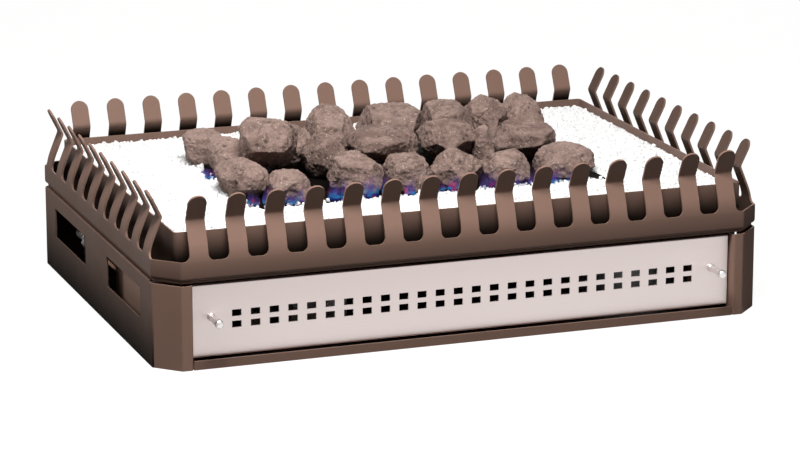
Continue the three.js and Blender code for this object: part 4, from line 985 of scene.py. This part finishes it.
def flame_finish():
    """Clear gas that glows: bright blue at the root, violet higher up with a few rose patches, and fading
    to nothing at the tip. The attribute "rise" is the height share along a tongue."""
    made, tree = new_material("flame")
    place = shader(tree, "TexCoord").outputs["Object"]
    rise = shader(tree, "Attribute", attribute_name="rise").outputs["Fac"]
    ramp = shader(tree, "ValToRGB", {"Fac": rise})
    for where, colour in FLAME_COLOURS[1:-1]:
        ramp.color_ramp.elements.new(where)
    for stop, (where, colour) in zip(ramp.color_ramp.elements, FLAME_COLOURS):
        stop.position = where
        stop.color = colour
    rosy = ramped(tree, noise(tree, place, ROSY_SCALE, 2), 0.58, 0.66, end=0.8)
    colour = mixed(tree, rosy, ramp.outputs["Color"], FLAME_ROSE)
    body = worked(tree, "POWER", ramped(tree, rise, 0.0, 0.95, 0.9, 0.0), FLAME_FADE)
    uneven = ramped(tree, noise(tree, place, WISP_SCALE, 3), 0.38, 0.6, 0.35)
    clear = shader(tree, "BsdfTransparent", {"Color": (1, 1, 1, 1)})
    glow = shader(tree, "Emission", {"Color": colour, "Strength": 1.0})
    solid = worked(tree, "MULTIPLY", body, uneven)
    both = shader(tree, "MixShader", {0: solid, 1: clear.outputs[0], 2: glow.outputs[0]})
    shader(tree, "OutputMaterial", {"Surface": both.outputs[0]})
    return made


def build_flames():
    """Each patch gets its tongues at random places and sizes."""
    random = np.random.default_rng(FLAME_SEED)
    tongues, rises = [], []
    for x, y, width, tall, rootless in FLAME_PATCHES:
        for _ in range(TONGUES):
            place = (x + random.uniform(-0.5, 0.5) * width, y + random.uniform(*TONGUE_DEPTHS), FLAME_FOOT)
            size = random.uniform(*TONGUE_SIZES)
            height = TONGUE_HEIGHT * tall * random.uniform(*TONGUE_HEIGHTS)
            sway = FLAME_SWAY * random.uniform(-1, 1)
            points, faces, rise = flame_tongue(place, TONGUE_WIDTH * size, TONGUE_THICK, height, sway)
            tongues.append((points, faces))
            rises.append(rootless + (1 - rootless) * rise)
    points, faces = joined(*tongues)
    made = new_piece("flames", points, faces, flame_finish())
    made.data.attributes.new("rise", "FLOAT", "POINT").data.foreach_set("value", np.concatenate(rises))
    return made


flames = build_flames()
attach(flames, "basket")


# Fret
# Four combs of 2 mm steel, one on each side of the fire: a band with a row of round-ended fingers that lean
# in to an elbow and out again to the tip. They are cut flat, folded and painted like the casing. Painted
# shade blackens the fingers' feet on the inside and darkens the front and back combs' outer faces towards
# their foot, and the side combs' inner faces are a shaded dark brown.
FRET_FOOT = 0.083
FRET_FLANGE = 0.009
FRET_BEND = 0.1075
FRET_ELBOW = 0.1374
FRET_TIP = 0.161
ELBOW_INSET = 0.0122
TIP_INSET = 0.0008
FRET_SHEET = 0.002
FRET_FOLD = 0.0035
FRET_FOLDS = (0.0035, 0.055, 0.0035)
LONG_FINGERS = 15
SIDE_FINGERS = 10
FRONT_LAND = 0.0024
BACK_LAND = 0.0108
SIDE_LAND = 0.0016
FINGER_HALF = 0.0088
SLOT_CORNER = 0.006
# Painted shade: the fingers' inner faces are painted black towards their feet.
FINGER_PAINTED_SHADE = ("Z", 0.126, 0.1425)
# Painted shade: the front and back combs' outer faces are painted darker towards their foot.
BAND_PAINTED_SHADE = ("Z", 0.05, 0.122)
INNER_BROWN = (0.178, 0.109, 0.084)
INNER_BROWN_DARK = (0.152, 0.092, 0.07)
# Painted shade: the side combs' inner faces are a much darker, shaded copy of the casing brown.
SIDE_SHADED_BROWN = (0.095, 0.06, 0.047)
SIDE_SHADED_BROWN_DARK = (0.075, 0.047, 0.037)
FINGER_FRACTIONS = np.linspace(-1, 1, 9)
ROUND_STEPS = np.linspace(0, math.pi / 2, 7)
finger_shaded_paint = satin_paint("finger_shaded_paint", INNER_BROWN, INNER_BROWN_DARK, painted_shade=FINGER_PAINTED_SHADE)
side_shaded_paint = satin_paint("side_shaded_paint", SIDE_SHADED_BROWN, SIDE_SHADED_BROWN_DARK)
fret_paint = satin_paint("fret_paint", BROWN, BROWN_DARK, painted_shade=BAND_PAINTED_SHADE)


def fret_comb(name, corners, run, fingers, land, quarter_turns, outer, inner):
    """A comb along the front, turned to its side of the fire. A finger's half-width at length s along the
    profile is a quarter circle that flares out at the slot's foot, then level, then a half circle at the
    tip."""
    plan = rounded_line(corners, FRET_FOLD)
    bends = [(0, FRET_BEND), (ELBOW_INSET, FRET_ELBOW), (TIP_INSET, FRET_TIP)]
    profile = rounded_line([(FRET_FLANGE, FRET_FOOT), (0, FRET_FOOT), *bends], FRET_FOLDS)
    rising = profile[0][:, 1] > FRET_FOOT + SAME_PLACE
    foot = profile[2][rising][0]
    notch = np.interp(FRET_BEND - SLOT_CORNER, profile[0][rising, 1], profile[2][rising])
    tip = profile[2][-1]
    first = run[0] + land + SLOT_CORNER + FINGER_HALF
    middles = np.linspace(first, run[0] + run[1] - first, fingers)
    centres = np.interp(middles, plan[0][:, 0], plan[2])
    shared = (centres[:, None] + (FINGER_HALF + SLOT_CORNER) * FINGER_FRACTIONS).ravel()
    straight = np.abs(plan[1][:, 1] - 1) < SAME_PLACE
    ends = plan[2][straight][[0, -1]]
    seams = (SEAM, plan[2][-1] - SEAM)

    def kept(u, s):
        flange = (s > foot) | ((u > ends[0]) & (u < ends[1]))
        return (s < notch) & flange & (u > seams[0]) & (u < seams[1])

    comb = [sheet_grid(plan, profile, np.concatenate([shared, seams]), [notch], kept)]
    sin, cos = np.sin(ROUND_STEPS), np.cos(ROUND_STEPS)
    flare = np.stack([notch + SLOT_CORNER * (1 - cos), FINGER_HALF + SLOT_CORNER * (1 - sin)])
    cap = np.stack([tip - FINGER_HALF + FINGER_HALF * sin, FINGER_HALF * cos])
    folds = profile[2][(profile[2] > flare[0, -1] + SAME_POINT) & (profile[2] < cap[0, 0] - SAME_POINT)]
    level = np.stack([folds, np.full(len(folds), FINGER_HALF)])
    lengths, halves = np.concatenate([flare, level, cap], 1)
    inset, height = np.repeat(along(profile, lengths)[0], len(FINGER_FRACTIONS), axis=0).T
    faces = grid_faces(len(lengths), len(FINGER_FRACTIONS))
    for centre in centres:
        base, inward = along(plan, (centre + halves[:, None] * FINGER_FRACTIONS).ravel())
        comb.append((np.column_stack([base + inward * inset[:, None], height]), faces))
    points, faces = joined(*comb)
    cos, sin = math.cos(quarter_turns * math.pi / 2), math.sin(quarter_turns * math.pi / 2)
    x, y, z = points.T
    turned = np.column_stack([x * cos - y * sin, x * sin + y * cos, z])
    made = new_piece(name + "_skin", turned, faces, outer, merge=2 * SAME_POINT)
    give_thickness(made, FRET_SHEET, inner=inner)
    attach(made, "basket")
    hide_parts(name)


def front_corners(cut):
    """The plan of a comb across the whole width that takes in the cut corners."""
    half = HALF_WIDTH - cut
    front = [(-half, -HALF_DEPTH), (half, -HALF_DEPTH)]
    return [(-HALF_WIDTH, -HALF_DEPTH + cut), *front, (HALF_WIDTH, -HALF_DEPTH + cut)]


SIDE_ENDS = (-HALF_DEPTH + FRONT_CUT, HALF_DEPTH - REAR_CUT)
right_run = (SIDE_ENDS[0] + SEAM, SIDE_ENDS[1] - SEAM)
left_run = (-SIDE_ENDS[1] + SEAM, -SIDE_ENDS[0] - SEAM)
LONG_SIDES = (("fret_front", FRONT_CUT, FRONT_LAND, 0), ("fret_back", REAR_CUT, BACK_LAND, 2))
for long_name, cut, long_land, long_turn in LONG_SIDES:
    long_run = (-HALF_WIDTH + cut, HALF_WIDTH - cut)
    long_paints = (fret_paint, finger_shaded_paint)
    fret_comb(long_name, front_corners(cut), long_run, LONG_FINGERS, long_land, long_turn, *long_paints)
for side_name, side_run, side_turn in (("fret_right", right_run, 1), ("fret_left", left_run, 3)):
    side_line = [(end + shift, -HALF_WIDTH) for end, shift in zip(side_run, (-SEAM, SEAM))]
    fret_comb(side_name, side_line, side_run, SIDE_FINGERS, SIDE_LAND, side_turn, brown_paint, side_shaded_paint)


# Front panel
# A pull-off plate of brushed stainless steel with two rows of air slots and turned-back top and bottom
# edges. It hides the gas tap and hangs on the two pull pins.
PANEL_HALF = 0.2652
PANEL_FOOT = 0.0089
PANEL_HEAD = 0.077
PANEL_FACE = -0.2027
PANEL_RETURN = 0.005
PANEL_FOLD = 0.0014
PANEL_SHEET = 0.0015
PANEL_EDGE = 0.0002
SLOT_COLUMNS = 26
SLOT_PITCH = 0.0179
SLOT_WIDTH = 0.009
SLOT_HEIGHT = 0.0062
SLOT_ROWS = (0.0375, 0.0481)
STEEL = (0.69, 0.60, 0.58)
STEEL_PALE = (0.745, 0.665, 0.645)
SCRATCH_STRETCH = (6, 60, 2600)
SCRATCH_DEPTH = 0.0002
CLOUD_STRETCH = (2, 2, 9)


def brushed_finish():
    """Stainless steel brushed from end to end: fine level scratches in its height, sheen and colour."""
    made, tree = new_material("brushed_steel")
    place = shader(tree, "TexCoord").outputs["Object"]
    drawn = shader(tree, "Mapping", {"Vector": place, "Scale": SCRATCH_STRETCH})
    lines = noise(tree, drawn.outputs[0], 1, 3, 0.7)
    broad = shader(tree, "Mapping", {"Vector": place, "Scale": CLOUD_STRETCH})
    tone = worked(tree, "MULTIPLY", lines, noise(tree, broad.outputs[0], 1, 2))
    inputs = {
        "Base Color": mixed(tree, ramped(tree, tone, 0.12, 0.42), STEEL, STEEL_PALE),
        "Metallic": 1.0,
        "Roughness": ramped(tree, lines, 0.3, 0.7, 0.38, 0.52),
        "Anisotropic": 0.6,
        "Normal": bumped(tree, lines, 0.12, SCRATCH_DEPTH),
    }
    return finished(made, tree, inputs)


def build_panel():
    """The plate's grid has a line at every slot's edge, and the slots' cells are left out."""
    plan = rounded_line([(-PANEL_HALF, PANEL_FACE), (PANEL_HALF, PANEL_FACE)], PANEL_FOLD)
    face = [(0, PANEL_FOOT), (0, PANEL_HEAD)]
    profile = rounded_line([(PANEL_RETURN, PANEL_FOOT), *face, (PANEL_RETURN, PANEL_HEAD)], PANEL_FOLD)
    upright = np.abs(profile[0][:, 0]) < SAME_PLACE
    middles = (np.arange(SLOT_COLUMNS) - (SLOT_COLUMNS - 1) / 2) * SLOT_PITCH + PANEL_HALF
    starts, ends = middles - SLOT_WIDTH / 2, middles + SLOT_WIDTH / 2
    heights = np.add.outer(SLOT_ROWS, (-SLOT_HEIGHT / 2, SLOT_HEIGHT / 2))
    levels = np.interp(heights, profile[0][upright, 1], profile[2][upright])

    def kept(u, s):
        across = ((u[..., None] > starts) & (u[..., None] < ends)).any(-1)
        up = np.any([(s > low) & (s < high) for low, high in levels], axis=0)
        return ~(across & up)

    grid = sheet_grid(plan, profile, np.concatenate([starts, ends]), levels.ravel(), kept)
    made = new_piece("front_panel_plate", *grid, brushed_finish(), merge=SAME_POINT)
    give_thickness(made, PANEL_SHEET, edge=PANEL_EDGE)
    return made


panel = build_panel()
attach(panel, "front_panel")
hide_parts("front_panel")


# Pull pins
# Two turned and chromed pins that hold the panel. Outside each has a shank that swells to a rounded grip, and
# inside a plain spigot that slides in the guide plate behind the front window.
PIN_X = 0.248
PIN_Z = 0.0465
PIN_SIDES = 40
TURNING_MARKS = 260

# The pin's outline from its outer end inwards: the place along it from the panel's face, and the radius.
PIN_OUTLINE = (
    (-0.0283, 0.0),
    (-0.0283, 0.0016),
    (-0.0280, 0.0026),
    (-0.0274, 0.0034),
    (-0.0265, 0.0039),
    (-0.0250, 0.0041),
    (-0.0225, 0.0040),
    (-0.0190, 0.0037),
    (-0.0140, 0.0033),
    (-0.0080, 0.0030),
    (-0.0025, 0.0028),
    (-0.0018, 0.0030),
    (-0.0014, 0.0036),
    (-0.0003, 0.0038),
    (-0.0003, 0.0030),
    (0.0021, 0.0030),
    (0.0021, 0.0044),
    (0.0036, 0.0044),
    (0.0036, 0.0030),
    (0.0581, 0.0030),
    (0.0601, 0.0020),
    (0.0601, 0.0),
)


def turned_pin(name, place, material):
    """A body turned about a line along Y: each outline point (y, r) is swept to (r cos t, y, r sin t)."""
    y, r = np.array(PIN_OUTLINE).T[..., None]
    angle = np.linspace(0, 2 * math.pi, PIN_SIDES, endpoint=False)
    points = np.stack([r * np.cos(angle), y + np.zeros(PIN_SIDES), r * np.sin(angle)], -1)
    faces = grid_faces(len(y), PIN_SIDES, closed=True)[:, ::-1]
    made = new_piece(name, points + np.array(place), faces, material, merge=1e-7)
    level = made.modifiers.new("flat", "WEIGHTED_NORMAL")
    level.keep_sharp = False
    return made


def polished_finish(name, colour, roughness):
    """Plated metal with faint turning marks in its sheen."""
    made, tree = new_material(name)
    marks = noise(tree, shader(tree, "TexCoord").outputs["Object"], TURNING_MARKS, 3)
    sheen = ramped(tree, marks, 0.3, 0.7, roughness * 0.7, roughness * 1.4)
    return finished(made, tree, {"Base Color": (*colour, 1), "Metallic": 1.0, "Roughness": sheen})


chrome = polished_finish("chrome", (0.80, 0.77, 0.76), 0.34)
for pin_name, pin_side in (("pull_pin_left", -1), ("pull_pin_right", 1)):
    pin = turned_pin(pin_name + "_turned", (pin_side * PIN_X, PANEL_FACE, PIN_Z), chrome)
    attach(pin, "front_panel")
    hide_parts(pin_name)


# Gas train
# The tap, igniter, pipes, injector, mixing tube and pilot sit under the deck and in the burner's free
# corner. Little of them shows, through the windows and behind the panel.
zinc = polished_finish("zinc_plate", (0.30, 0.30, 0.31), 0.4)
nickel = polished_finish("nickel_plate", (0.88, 0.82, 0.79), 0.35)
brass = polished_finish("brass", (0.60, 0.42, 0.17), 0.28)
copper = polished_finish("copper", (0.62, 0.30, 0.17), 0.28)
alloy = polished_finish("cast_alloy", (0.40, 0.40, 0.40), 0.5)
black_cap = satin_paint("black_plastic", (0.018, 0.018, 0.02), (0.012, 0.012, 0.014), 0.4)
white_cap = satin_paint("white_plastic", (0.80, 0.79, 0.76), (0.74, 0.73, 0.70), 0.3)
GAS_TRAIN = {
    zinc: "control_bracket valve_spindle inlet_bracket injector_bracket mixing_tube pilot_bracket",
    nickel: "inlet_fitting inlet_nut",
    brass: "valve_plug injector pilot_burner",
    copper: "inlet_pipe burner_pipe pilot_pipe thermocouple",
    alloy: "valve_body",
    black_cap: "control_knob igniter_body",
    white_cap: "igniter_button spark_electrode",
}
for train_finish, train_names in GAS_TRAIN.items():
    for train_name in train_names.split():
        dress(train_name, train_finish)
